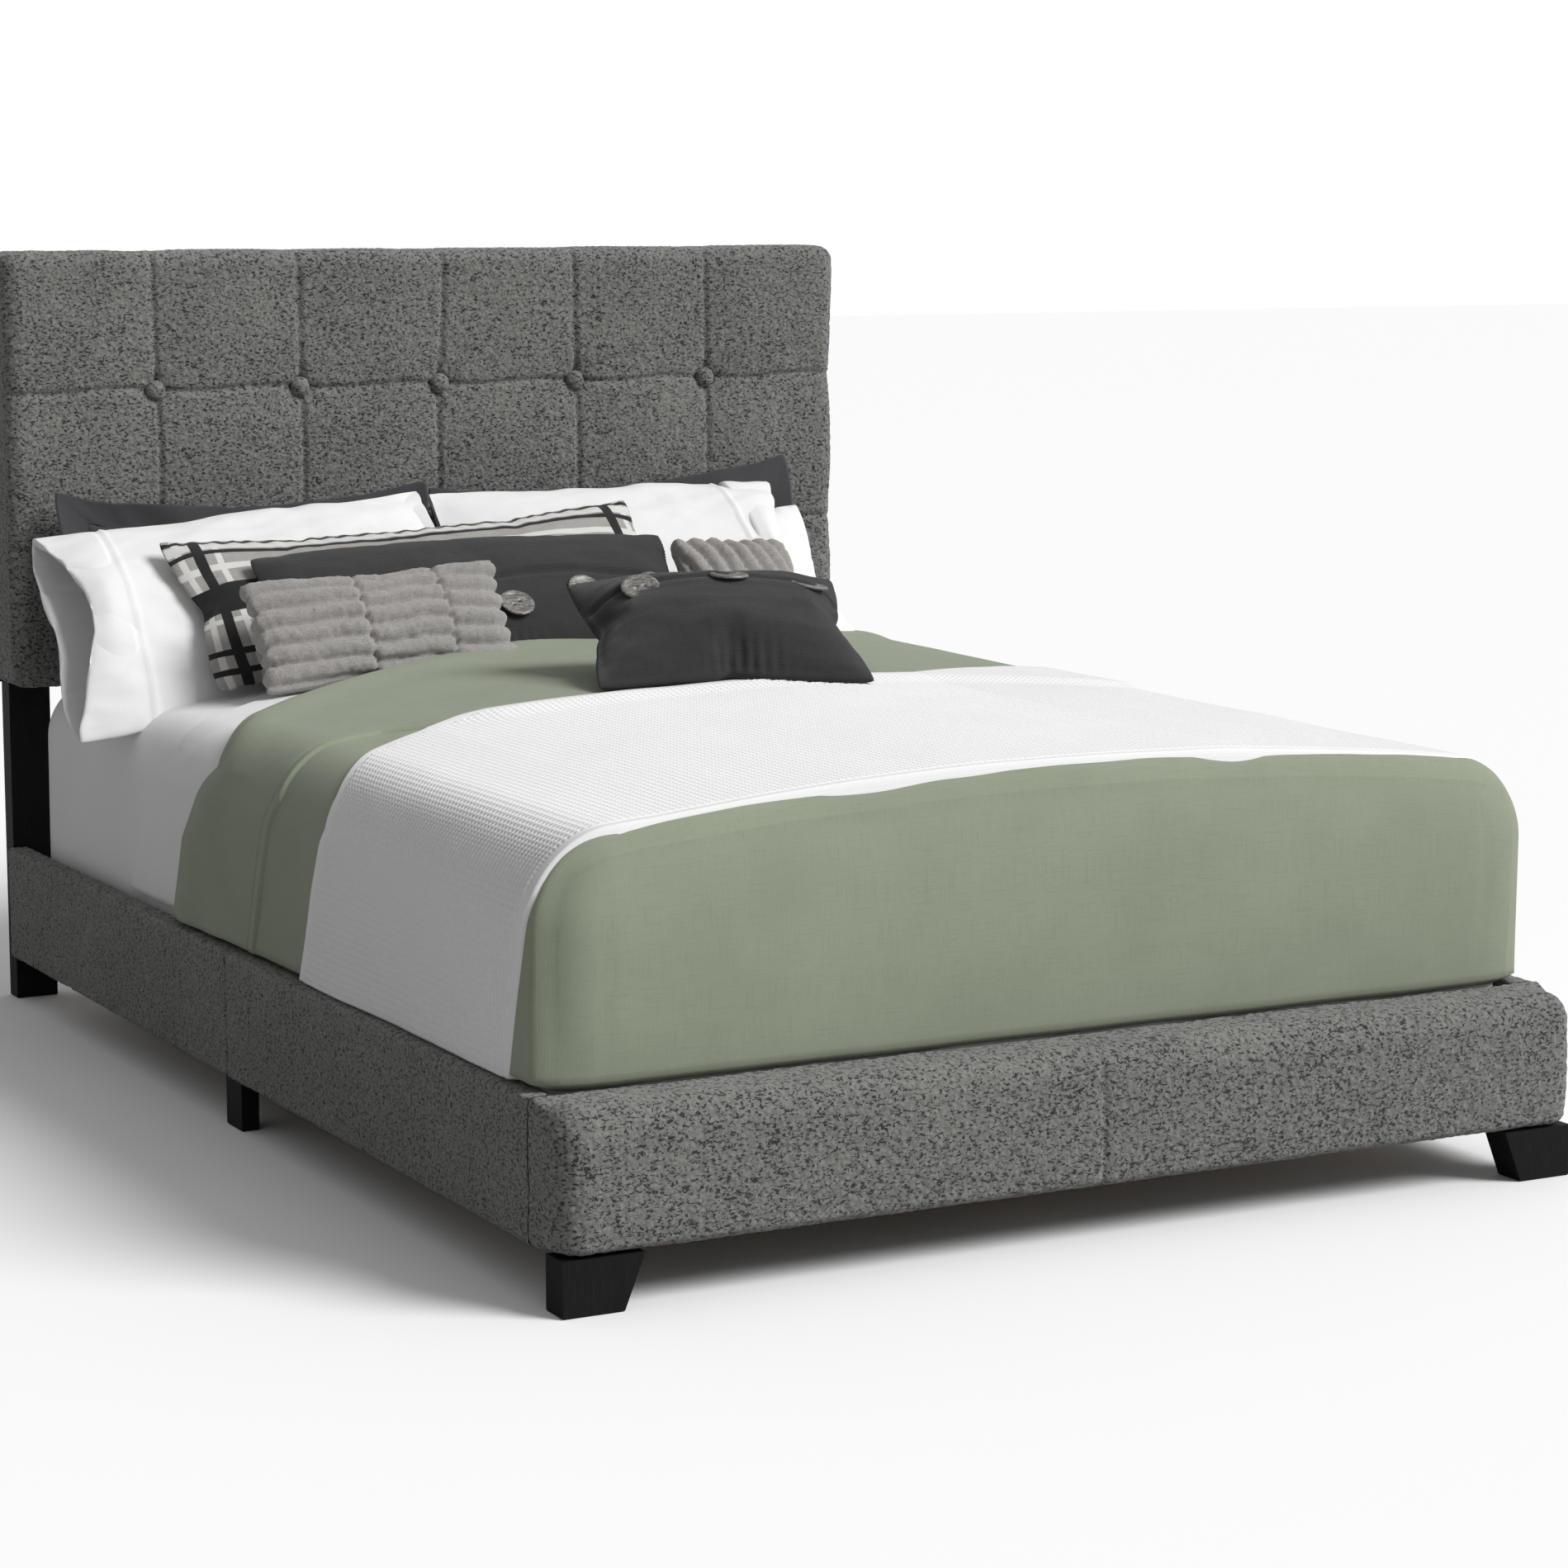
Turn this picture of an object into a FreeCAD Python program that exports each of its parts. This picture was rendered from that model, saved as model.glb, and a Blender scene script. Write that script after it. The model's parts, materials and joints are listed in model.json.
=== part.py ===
"""Upholstered platform bed, full size, made up with its bedding.

Millimetres. X runs across the bed, +Y towards the headboard, +Z up.
The origin is on the floor, midway across the bed and midway along it.
"""

import math
import os

import FreeCAD
import Part

V = FreeCAD.Vector
os.makedirs("parts", exist_ok=True)

# ---------------------------------------------------------------- driving sizes
MATTRESS_WIDTH = 1372.0
MATTRESS_LENGTH = 1905.0
MATTRESS_DEPTH = 340.0
HEADBOARD_HEIGHT = 1175.0      # floor to the top of the headboard
PANEL_HEIGHT = 672.0           # upholstered part of the headboard
HEADBOARD_DEPTH = 96.0         # cover face to back cloth
FOOTBOARD_DEPTH = 90.0
RAIL_HEIGHT = 174.0            # side rails and footboard
FLOOR_GAP = 68.0               # floor to the underside of the rails
SLAT_SHARE = 97 / 174          # slats' top above the rails' underside, of the rails' height

# clearances
MATTRESS_SIDE_GAP = 7.0        # mattress to the rail's cover lip
MATTRESS_FOOT_GAP = 10.0
MATTRESS_HEAD_GAP = 9.0        # clears the tuft buttons when the mattress is lifted
SOFT_GAP = 0.5                 # between one soft piece and the next
HOLE_GAP = 0.2                 # radial, bolts and screws in their holes
FIT_GAP = 0.5                  # timber to timber, where a piece slides in
BEDDING_RAIL_GAP = 2.0         # hem of the bedding above the rail

# upholstery
COVER = 3.0                    # boucle cover on the headboard and footboard
RAIL_COVER = 5.0               # boucle with its wadding, on the side rails
COVER_LIP_SHARE = 20 / 174     # cover turned over the rail's inner face, of its height
BACK_CLOTH = 2.0
PANEL_EDGE_ROUND = 26.0        # front edges of the headboard
FOOT_EDGE_ROUND = 38.0         # front edges and corners of the footboard
FOOT_REAR_ROUND = 8.0
BUTTON_RADIUS = 15.0
BUTTON_DEPTH = 6.0
BUTTON_ROUND = 4.5
PANEL_COLUMNS = 6
PANEL_SEAMS = (214.0, 457.0)   # seam heights above the panel's lower edge

# timber
POST_WIDTH = 66.0
POST_DEPTH = 37.0
POST_INSET = 7.0               # post's outer face inside the bed's side
PLY = 9.0
PANEL_TOP_FOAM = 12.0
HEAD_RAIL_HEIGHT = 60.0
HEAD_RAIL_LEVELS = (0.0, 0.33, 0.66, 1.0)   # share of the free height in the panel
STRETCHER_DEPTH = 22.0
STRETCHER_HEIGHT = 80.0
STRETCHER_SETBACK = 4.0        # behind the posts' front faces
BOARD = 22.0                   # side rail board
CORE_BOARD = 15.0              # footboard's boards
CORE_FRONT_FOAM = 15.0
CORE_TOP_FOAM_SHARE = 27 / 174     # of the footboard's height
CORE_SIDE_FOAM = 14.0
CORE_END_BLOCK = 90.0
CORE_MID_BLOCK = 40.0
CORE_MID_BLOCKS = 3
LEDGER_DEPTH = 22.0
LEDGER_HEIGHT = 40.0
SLAT_WIDTH = 90.0
SLAT_DEPTH = 18.0
SLAT_COUNT = 8
SLAT_END_GAP = 2.0
SLAT_FIRST = 50.0              # mattress end to the nearest slat
BEAM_WIDTH = 45.0
BEAM_DEPTH = 62.0

# legs
FOOT_LEG_TOP = 105.0
FOOT_LEG_BOTTOM = 78.0
FOOT_LEG_DEPTH = 46.0
FOOT_LEG_SETBACK = 5.0
FOOT_LEG_INSET = 3.0
MID_LEG_WIDTH = 25.0
MID_LEG_LENGTH = 59.0
MID_LEG_OFFSET = 18.5          # ahead of the bed's middle, towards the head
LEG_CHAMFER = 1.5
CENTRE_LEG_SIDE = 45.0
CENTRE_LEG_FLOOR_GAP = 14.0
CENTRE_LEG_PLACES = (0.30, 0.72)   # share of the beam's length from the foot
LEVELLER_RADIUS = 20.0
LEVELLER_FOOT = 8.0
LEVELLER_STEM = 5.0
LEVELLER_REACH = 32.0
LEVELLER_BORE_SPARE = 10.0

# fixings
BOLT_RADIUS = 4.0
BOLT_LENGTH = 18.0
BOLT_HEAD_RADIUS = 7.0
BOLT_HEAD = 4.0
LEG_BOLT_INTO_LEG = 40.0
LEG_BOLT_INTO_RAIL = 45.0
LEG_BOLT_EDGE = 10.0
FOOT_LEG_STUDS = (0.3, 0.7)        # share of the leg's width
MID_LEG_STUDS = (-0.25, 0.25)      # share of the leg's length, from its middle
SCREW_RADIUS = 2.2
SCREW_HEAD_RADIUS = 4.4
SCREW_HEAD = 2.4
LEDGER_SCREW_DROP = 0.6            # share of the ledger's height
LEDGER_SCREW_LENGTH = 38.0
SLAT_SCREW_LENGTH = 40.0
SLAT_SCREW_EDGE = 11.0
BRACKET_PLATE = 3.0
BRACKET_LEAF = 38.0
BRACKET_ARM = 60.0
BRACKET_LIP_GAP = 4.0
BRACKET_ARM_BOLTS = (0.4, 0.78)    # share of the arm
BRACKET_LEAF_BOLT = 0.6            # share of the leaf
BRACKET_LEAF_LIFTS = (-0.25, 0.25)     # share of the bracket's height
BRACKET_ABOVE_SLAT = 4.0
HANGER_PLATE = 2.0
HANGER_REACH = 45.0

# bedding
MATTRESS_CROWN = 66.0          # crown of the mattress top above its side edges
MATTRESS_ROUND = 38.0
MATTRESS_CORNER = 30.0
FOOT_DRAPE_SHARE = 0.55        # bedding's thickness at the foot, of that at the sides
SHEET = 4.0
COMFORTER = 19.0
BLANKET = 6.0
COMFORTER_SHORT = 510.0        # comforter's head edge to the mattress's, on the centre line
COMFORTER_SKEW = 22.0          # degrees that the head edge turns across the bed
BLANKET_SHORT = 1020.0
BLANKET_SKEW = 16.0
SHEET_SHORT = 480.0
SHEET_BAND = 560.0

# cushions: each leans back on the next, its size along, up and through
CUSHION_ROUND = 0.45           # share of the thickness
SHAM_SIZE = (630.0, 310.0, 34.0)
PILLOW_SIZE = (610.0, 285.0, 30.0)
LOW_PILLOW_SIZE = (620.0, 205.0, 22.0)
PLAID_SIZE = (780.0, 250.0, 20.0)
LONG_SIZE = (690.0, 205.0, 30.0)
FUR_SIZE = (410.0, 185.0, 30.0)
NARROW_FUR_SIZE = (190.0, 210.0, 26.0)
FRONT_SIZE = (390.0, 285.0, 36.0)
PILE_LEAN = 45.0
FRONT_LEAN = 15.0
FRONT_TURN = -15.0
TOGGLE_RADIUS = 28.0           # the big buttons on the two dark cushions
TOGGLE_DEPTH = 5.0
TOGGLE_HOLE = 2.5
TOGGLE_HOLE_PITCH = 12.0
TOGGLE_PITCH = 130.0
TOGGLE_EDGE = 52.0             # buttons' row below the cushion's top edge

# ------------------------------------------------------------- worked-out sizes
HALF_MATTRESS = MATTRESS_WIDTH / 2
RAIL_THICK = 2 * RAIL_COVER + BOARD
HALF_WIDTH = HALF_MATTRESS + MATTRESS_SIDE_GAP + RAIL_THICK
LENGTH = (FOOTBOARD_DEPTH + MATTRESS_FOOT_GAP + MATTRESS_LENGTH
          + MATTRESS_HEAD_GAP + HEADBOARD_DEPTH)
FRONT = -LENGTH / 2
BACK = LENGTH / 2
FOOT_REAR = FRONT + FOOTBOARD_DEPTH
RAIL_BOTTOM = FLOOR_GAP
RAIL_TOP = FLOOR_GAP + RAIL_HEIGHT
SLAT_TOP = RAIL_BOTTOM + RAIL_HEIGHT * SLAT_SHARE
COVER_LIP = RAIL_HEIGHT * COVER_LIP_SHARE
PANEL_BOTTOM = HEADBOARD_HEIGHT - PANEL_HEIGHT
PANEL_FRONT = BACK - HEADBOARD_DEPTH
POST_BACK = BACK - BACK_CLOTH
POST_FRONT = POST_BACK - POST_DEPTH
POST_OUTER = HALF_WIDTH - POST_INSET
POST_INNER = POST_OUTER - POST_WIDTH
MATTRESS_FOOT = FOOT_REAR + MATTRESS_FOOT_GAP
MATTRESS_HEAD = MATTRESS_FOOT + MATTRESS_LENGTH
MATTRESS_TOP = SLAT_TOP + MATTRESS_DEPTH
SLAT_BOTTOM = SLAT_TOP - SLAT_DEPTH
BOARD_OUTER = HALF_WIDTH - RAIL_COVER
BOARD_INNER = BOARD_OUTER - BOARD
LIP_INNER = BOARD_INNER - RAIL_COVER
LEDGER_INNER = BOARD_INNER - LEDGER_DEPTH
BEAM_BOTTOM = SLAT_BOTTOM - BEAM_DEPTH
BEAM_FOOT = FOOT_REAR + HANGER_PLATE + FIT_GAP
BRACKET_BOTTOM = SLAT_TOP + BRACKET_ABOVE_SLAT
BRACKET_TOP = RAIL_TOP - RAIL_COVER - COVER_LIP - BRACKET_LIP_GAP
BRACKET_HEIGHT = BRACKET_TOP - BRACKET_BOTTOM
CORE_FRONT = FRONT + COVER + CORE_FRONT_FOAM
CORE_BACK = FOOT_REAR - COVER
CORE_HALF = HALF_WIDTH - COVER - CORE_SIDE_FOAM
CORE_BOTTOM = RAIL_BOTTOM + COVER
CORE_TOP = RAIL_TOP - COVER - RAIL_HEIGHT * CORE_TOP_FOAM_SHARE
STRETCHER_FRONT = POST_FRONT + STRETCHER_SETBACK
BEAM_HEAD = STRETCHER_FRONT - HANGER_PLATE - FIT_GAP
SIDES = (("left", -1), ("right", 1))


# --------------------------------------------------------------------- helpers
def box(x0, x1, y0, y1, z0, z1):
    """A box between two corners, given in any order along X."""
    low, high = min(x0, x1), max(x0, x1)
    return Part.makeBox(high - low, y1 - y0, z1 - z0, V(low, y0, z0))


def rod(radius, length, start, axis):
    """A cylinder from a start point along an axis."""
    return Part.makeCylinder(radius, length, start, axis)


def fuse(shapes):
    """One solid from overlapping shapes."""
    return shapes[0].fuse(shapes[1:]).removeSplitter()


def cut(shape, tools):
    """A shape less every tool in a list."""
    return shape.cut(tools) if tools else shape


def edges_where(shape, test):
    """The edges whose both ends and middle pass a test on the point."""
    chosen = []
    for edge in shape.Edges:
        middle = edge.valueAt((edge.FirstParameter + edge.LastParameter) / 2)
        points = [vertex.Point for vertex in edge.Vertexes] + [middle]
        if all(test(point) for point in points):
            chosen.append(edge)
    return chosen


def near(a, b):
    """Whether two sizes are the same to a hundredth of a millimetre."""
    return abs(a - b) < 0.01


def write(name, shape):
    """Save one node, as one solid or a group of separate solids."""
    if not shape.isValid():
        raise ValueError(name + " is not a valid shape")
    shape.exportStep(os.path.join("parts", name + ".step"))
    print(name, len(shape.Solids), round(shape.Volume / 1e6, 3))


def bolt(place, axis):
    """A button-head bolt: its head's seat at a place, its shank along the axis."""
    head = rod(BOLT_HEAD_RADIUS, BOLT_HEAD, place, axis * -1)
    return fuse([head, rod(BOLT_RADIUS, BOLT_LENGTH, place, axis)])


def bolt_hole(place, axis):
    """The hole that a bolt's shank runs in, from its seat."""
    return rod(BOLT_RADIUS + HOLE_GAP, BOLT_LENGTH + HOLE_GAP, place, axis)


def screw(place, axis, length, gap=0.0):
    """A countersunk wood screw, flush at a place, or its hole if a gap is given."""
    head = Part.makeCone(SCREW_HEAD_RADIUS + gap, SCREW_RADIUS + gap,
                         SCREW_HEAD + gap, place, axis)
    return fuse([head, rod(SCREW_RADIUS + gap, length + gap, place, axis)])


# ---------------------------------------------------------- places of fixings
def bracket_bolts():
    """Place and axis of every bolt through the four corner brackets."""
    found = []
    level = BRACKET_BOTTOM + BRACKET_HEIGHT / 2
    face = BOARD_INNER - BRACKET_PLATE
    leaf_x = BOARD_INNER - BRACKET_PLATE - BRACKET_LEAF * BRACKET_LEAF_BOLT
    for _, side in SIDES:
        for end, direction in ((POST_FRONT, 1), (FOOT_REAR, -1)):
            for share in BRACKET_ARM_BOLTS:
                along = end - direction * BRACKET_ARM * share
                found.append((V(side * face, along, level), V(side, 0, 0)))
            for lift in BRACKET_LEAF_LIFTS:
                place = V(side * leaf_x, end - direction * BRACKET_PLATE,
                          level + lift * BRACKET_HEIGHT)
                found.append((place, V(0, direction, 0)))
    return found


def slat_centres():
    """The slats' places along the bed."""
    first = MATTRESS_FOOT + SLAT_FIRST + SLAT_WIDTH / 2
    last = MATTRESS_HEAD - SLAT_FIRST - SLAT_WIDTH / 2
    return [first + (last - first) * index / (SLAT_COUNT - 1) for index in range(SLAT_COUNT)]


def ledger_screws():
    """Place and axis of the ledgers' screws, one between every two slats."""
    level = SLAT_BOTTOM - LEDGER_HEIGHT * LEDGER_SCREW_DROP
    centres = slat_centres()
    return [(V(side * LEDGER_INNER, (centre + after) / 2, level), V(side, 0, 0))
            for _, side in SIDES for centre, after in zip(centres, centres[1:])]


def slat_screws():
    """Place and axis of the screws that hold each slat to ledgers and beam."""
    reach = BOARD_INNER - SLAT_SCREW_EDGE
    return [(V(x, y, SLAT_TOP), V(0, 0, -1)) for y in slat_centres() for x in (-reach, 0, reach)]


def beam_leg_places():
    """The centre legs' places along the bed."""
    return [BEAM_FOOT + (BEAM_HEAD - BEAM_FOOT) * share for share in CENTRE_LEG_PLACES]


def leg_bolts():
    """Centre line of every stud that joins a leg to what stands on it."""
    found = []
    leg_front = FRONT + FOOT_LEG_SETBACK
    for _, side in SIDES:
        for share in FOOT_LEG_STUDS:
            x = side * (HALF_WIDTH - FOOT_LEG_INSET - FOOT_LEG_BOTTOM * share)
            found.append((x, leg_front + FOOT_LEG_DEPTH - LEG_BOLT_EDGE, RAIL_BOTTOM))
        for share in MID_LEG_STUDS:
            x = side * (BOARD_OUTER - BOARD / 2)
            y = MID_LEG_OFFSET + MID_LEG_LENGTH * share
            found.append((x, y, RAIL_BOTTOM))
    return found


def stud(place, gap=0.0):
    """A plain stud, half in the leg and half in the rail, or its hole."""
    x, y, z = place
    length = LEG_BOLT_INTO_LEG + LEG_BOLT_INTO_RAIL + 2 * gap
    return rod(BOLT_RADIUS + gap, length, V(x, y, z - LEG_BOLT_INTO_LEG - gap), V(0, 0, 1))


BRACKET_BOLT_HOLES = [bolt_hole(*spot) for spot in bracket_bolts()]
STUD_HOLES = [stud(spot, HOLE_GAP) for spot in leg_bolts()]
LEDGER_HOLES = [screw(*spot, LEDGER_SCREW_LENGTH, HOLE_GAP / 2) for spot in ledger_screws()]
SLAT_HOLES = [screw(*spot, SLAT_SCREW_LENGTH, HOLE_GAP / 2) for spot in slat_screws()]


# -------------------------------------------------------------------- headboard
def panel_block(inset, depth_inset):
    """The headboard's soft outline, drawn in from its outer face by an inset."""
    half = HALF_WIDTH - inset
    front = PANEL_FRONT + inset
    top = HEADBOARD_HEIGHT - inset
    block = box(-half, half, front, BACK - depth_inset, PANEL_BOTTOM + inset, top)
    rim = edges_where(block, lambda p: near(p.y, front))
    return block.makeFillet(PANEL_EDGE_ROUND - inset, rim)


def post(side):
    """One head post, from the floor to the top of the headboard's frame."""
    top = HEADBOARD_HEIGHT - COVER - PANEL_TOP_FOAM
    shape = box(side * POST_INNER, side * POST_OUTER, POST_FRONT, POST_BACK, 0, top)
    foot = edges_where(shape, lambda p: near(p.z, 0))
    return cut(shape.makeChamfer(LEG_CHAMFER, foot), BRACKET_BOLT_HOLES)


def post_slots():
    """What the soft parts leave free for the two posts."""
    return [box(side * (POST_INNER - FIT_GAP), side * (POST_OUTER + FIT_GAP),
                POST_FRONT, BACK, 0, PANEL_BOTTOM + COVER) for _, side in SIDES]


def headboard_rails():
    """The cross timbers between the posts, behind the panel."""
    low = PANEL_BOTTOM + COVER
    free = HEADBOARD_HEIGHT - COVER - PANEL_TOP_FOAM - HEAD_RAIL_HEIGHT - low
    rails = []
    for share in HEAD_RAIL_LEVELS:
        z = low + free * share
        rails.append(box(-POST_INNER, POST_INNER, POST_FRONT, POST_BACK, z, z + HEAD_RAIL_HEIGHT))
    return Part.makeCompound(rails)


def headboard_panel():
    """The plywood that carries the foam."""
    top = HEADBOARD_HEIGHT - COVER - PANEL_TOP_FOAM
    return box(-POST_OUTER, POST_OUTER, POST_FRONT - PLY, POST_FRONT, PANEL_BOTTOM + COVER, top)


def headboard_foam():
    """Foam in front of the panel, turned over its top and sides."""
    core = box(-POST_OUTER, POST_OUTER, POST_FRONT - PLY, BACK, 0,
               HEADBOARD_HEIGHT - COVER - PANEL_TOP_FOAM)
    return panel_block(COVER, BACK_CLOTH).cut(core)


def headboard_cover():
    """The boucle cover, open at the back and notched for the posts."""
    shell = panel_block(0, BACK_CLOTH).cut(panel_block(COVER, 0))
    return cut(shell, post_slots())


def headboard_back_cloth():
    """The dust cloth across the headboard's back."""
    return box(-HALF_WIDTH, HALF_WIDTH, BACK - BACK_CLOTH, BACK, PANEL_BOTTOM, HEADBOARD_HEIGHT)


def headboard_buttons():
    """Covered tuft buttons where the seams cross."""
    pitch = 2 * HALF_WIDTH / PANEL_COLUMNS
    buttons = []
    for height in PANEL_SEAMS:
        for column in range(1, PANEL_COLUMNS):
            place = V(-HALF_WIDTH + pitch * column, PANEL_FRONT, PANEL_BOTTOM + height)
            disc = rod(BUTTON_RADIUS, BUTTON_DEPTH, place, V(0, -1, 0))
            rim = edges_where(disc, lambda p: near(p.y, PANEL_FRONT - BUTTON_DEPTH))
            buttons.append(disc.makeFillet(BUTTON_ROUND, rim))
    return Part.makeCompound(buttons)


def head_stretcher():
    """The low timber between the posts that carries the beam's head end."""
    return box(-POST_INNER, POST_INNER, STRETCHER_FRONT, STRETCHER_FRONT + STRETCHER_DEPTH,
               SLAT_BOTTOM - STRETCHER_HEIGHT, SLAT_BOTTOM)


# -------------------------------------------------------------------- footboard
def foot_block(inset):
    """The footboard's soft outline, drawn in from its outer face by an inset."""
    half = HALF_WIDTH - inset
    front, rear = FRONT + inset, FOOT_REAR - inset
    low, top = RAIL_BOTTOM + inset, RAIL_TOP - inset
    block = box(-half, half, front, rear, low, top)
    round_edges = edges_where(block, lambda p: near(p.y, front) and not near(p.z, low))
    block = block.makeFillet(FOOT_EDGE_ROUND - inset, round_edges)
    rear_edge = edges_where(block, lambda p: near(p.y, rear) and near(p.z, top))
    return block.makeFillet(FOOT_REAR_ROUND - inset, rear_edge)


def core_box():
    """The room that the footboard's timber takes."""
    return box(-CORE_HALF, CORE_HALF, CORE_FRONT, CORE_BACK, CORE_BOTTOM, CORE_TOP)


def footboard_cover():
    """The boucle cover, closed all round and pierced for bolts."""
    return cut(foot_block(0).cut(foot_block(COVER)), BRACKET_BOLT_HOLES + STUD_HOLES)


def footboard_foam():
    """Foam over the front, top and ends of the footboard's timber."""
    return foot_block(COVER).cut(core_box())


def footboard_front_board():
    """The front board of the footboard's box."""
    return box(-CORE_HALF, CORE_HALF, CORE_FRONT, CORE_FRONT + CORE_BOARD, CORE_BOTTOM, CORE_TOP)


def footboard_back_board():
    """The rear board, which takes the corner brackets' bolts."""
    shape = box(-CORE_HALF, CORE_HALF, CORE_BACK - CORE_BOARD, CORE_BACK, CORE_BOTTOM, CORE_TOP)
    return cut(shape, BRACKET_BOLT_HOLES)


def footboard_blocks():
    """Blocks between the two boards: one at each end, the rest evenly spaced."""
    front, rear = CORE_FRONT + CORE_BOARD, CORE_BACK - CORE_BOARD
    inner = CORE_HALF - CORE_END_BLOCK
    blocks = [box(side * inner, side * CORE_HALF, front, rear, CORE_BOTTOM, CORE_TOP)
              for _, side in SIDES]
    for index in range(1, CORE_MID_BLOCKS + 1):
        middle = -inner + 2 * inner * index / (CORE_MID_BLOCKS + 1)
        blocks.append(box(middle - CORE_MID_BLOCK / 2, middle + CORE_MID_BLOCK / 2,
                          front, rear, CORE_BOTTOM, CORE_TOP))
    return cut(Part.makeCompound(blocks), BRACKET_BOLT_HOLES + STUD_HOLES)


def foot_leg(side):
    """A block leg whose inner face slopes in towards the floor."""
    outer = side * (HALF_WIDTH - FOOT_LEG_INSET)
    front = FRONT + FOOT_LEG_SETBACK
    corners = [V(outer, front, 0), V(outer - side * FOOT_LEG_BOTTOM, front, 0),
               V(outer - side * FOOT_LEG_TOP, front, RAIL_BOTTOM), V(outer, front, RAIL_BOTTOM)]
    face = Part.Face(Part.makePolygon(corners + corners[:1]))
    shape = face.extrude(V(0, FOOT_LEG_DEPTH, 0))
    foot = edges_where(shape, lambda p: near(p.z, 0))
    return cut(shape.makeChamfer(LEG_CHAMFER, foot), STUD_HOLES)


# ------------------------------------------------------------------- side rails
def rail_board(side):
    """The board of one side rail."""
    shape = box(side * BOARD_INNER, side * BOARD_OUTER, FOOT_REAR, POST_FRONT,
                RAIL_BOTTOM + RAIL_COVER, RAIL_TOP - RAIL_COVER)
    return cut(shape, BRACKET_BOLT_HOLES + STUD_HOLES + LEDGER_HOLES)


def rail_cover(side):
    """The cover of one side rail, wrapped round it and turned in at both edges."""
    wrap = box(side * LIP_INNER, side * HALF_WIDTH, FOOT_REAR, POST_FRONT, RAIL_BOTTOM, RAIL_TOP)
    outer = edges_where(wrap, lambda p: near(abs(p.x), HALF_WIDTH))
    long_edges = [edge for edge in outer if edge.Length > RAIL_HEIGHT]
    wrap = wrap.makeFillet(RAIL_COVER - FIT_GAP, long_edges)
    board = box(side * BOARD_INNER, side * BOARD_OUTER, FOOT_REAR, POST_FRONT,
                RAIL_BOTTOM + RAIL_COVER, RAIL_TOP - RAIL_COVER)
    window = box(side * LIP_INNER, side * BOARD_INNER, FOOT_REAR, POST_FRONT,
                 RAIL_BOTTOM + RAIL_COVER + COVER_LIP, RAIL_TOP - RAIL_COVER - COVER_LIP)
    return cut(wrap, [board, window] + STUD_HOLES)


def slat_ledger(side):
    """The batten on the rail's inner face that carries the slats' ends."""
    shape = box(side * LEDGER_INNER, side * BOARD_INNER, FOOT_REAR + BRACKET_ARM,
                POST_FRONT - BRACKET_ARM, SLAT_BOTTOM - LEDGER_HEIGHT, SLAT_BOTTOM)
    return cut(shape, LEDGER_HOLES + SLAT_HOLES)


def mid_leg(side):
    """The flat leg under the middle of one side rail."""
    outer = side * (HALF_WIDTH - FOOT_LEG_INSET)
    shape = box(outer - side * MID_LEG_WIDTH, outer, MID_LEG_OFFSET - MID_LEG_LENGTH / 2,
                MID_LEG_OFFSET + MID_LEG_LENGTH / 2, 0, RAIL_BOTTOM)
    foot = edges_where(shape, lambda p: near(p.z, 0))
    return cut(shape.makeChamfer(LEG_CHAMFER, foot), STUD_HOLES)


def rail_brackets():
    """Angle brackets that join each rail to its post and to the footboard."""
    inner = BOARD_INNER - BRACKET_PLATE
    brackets = []
    for _, side in SIDES:
        for end, direction in ((POST_FRONT, -1), (FOOT_REAR, 1)):
            arm_end, leaf_end = end + direction * BRACKET_ARM, end + direction * BRACKET_PLATE
            arm = box(side * inner, side * BOARD_INNER, min(end, arm_end), max(end, arm_end),
                      BRACKET_BOTTOM, BRACKET_TOP)
            leaf = box(side * (inner - BRACKET_LEAF), side * BOARD_INNER,
                       min(end, leaf_end), max(end, leaf_end), BRACKET_BOTTOM, BRACKET_TOP)
            brackets.append(cut(fuse([arm, leaf]), BRACKET_BOLT_HOLES))
    return Part.makeCompound(brackets)


# ----------------------------------------------------------------- slat support
def slat(centre):
    """One slat, countersunk for its three screws."""
    reach = BOARD_INNER - SLAT_END_GAP
    shape = box(-reach, reach, centre - SLAT_WIDTH / 2, centre + SLAT_WIDTH / 2,
                SLAT_BOTTOM, SLAT_TOP)
    return cut(shape, SLAT_HOLES)


def beam_bolt(place, gap=0.0):
    """The stud from a centre leg up into the beam, or its hole."""
    length = LEG_BOLT_INTO_LEG / 2 + BEAM_DEPTH / 2 + 2 * gap
    start = V(0, place, BEAM_BOTTOM - LEG_BOLT_INTO_LEG / 2 - gap)
    return rod(BOLT_RADIUS + gap, length, start, V(0, 0, 1))


def centre_beam():
    """The beam under the middle of the slats."""
    shape = box(-BEAM_WIDTH / 2, BEAM_WIDTH / 2, BEAM_FOOT, BEAM_HEAD, BEAM_BOTTOM, SLAT_BOTTOM)
    return cut(shape, SLAT_HOLES + [beam_bolt(place, HOLE_GAP) for place in beam_leg_places()])


def beam_hangers():
    """Steel cups that hold the beam's two ends."""
    half = BEAM_WIDTH / 2 + FIT_GAP
    low = BEAM_BOTTOM - HANGER_PLATE
    hangers = []
    for end, direction in ((FOOT_REAR, 1), (STRETCHER_FRONT, -1)):
        mouth = end + direction * HANGER_REACH
        back = end + direction * HANGER_PLATE
        outer = box(-half - HANGER_PLATE, half + HANGER_PLATE, min(end, mouth), max(end, mouth),
                    low, SLAT_BOTTOM)
        inside = box(-half, half, min(back, mouth), max(back, mouth), BEAM_BOTTOM, SLAT_BOTTOM)
        hangers.append(outer.cut(inside))
    return Part.makeCompound(hangers)


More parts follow.
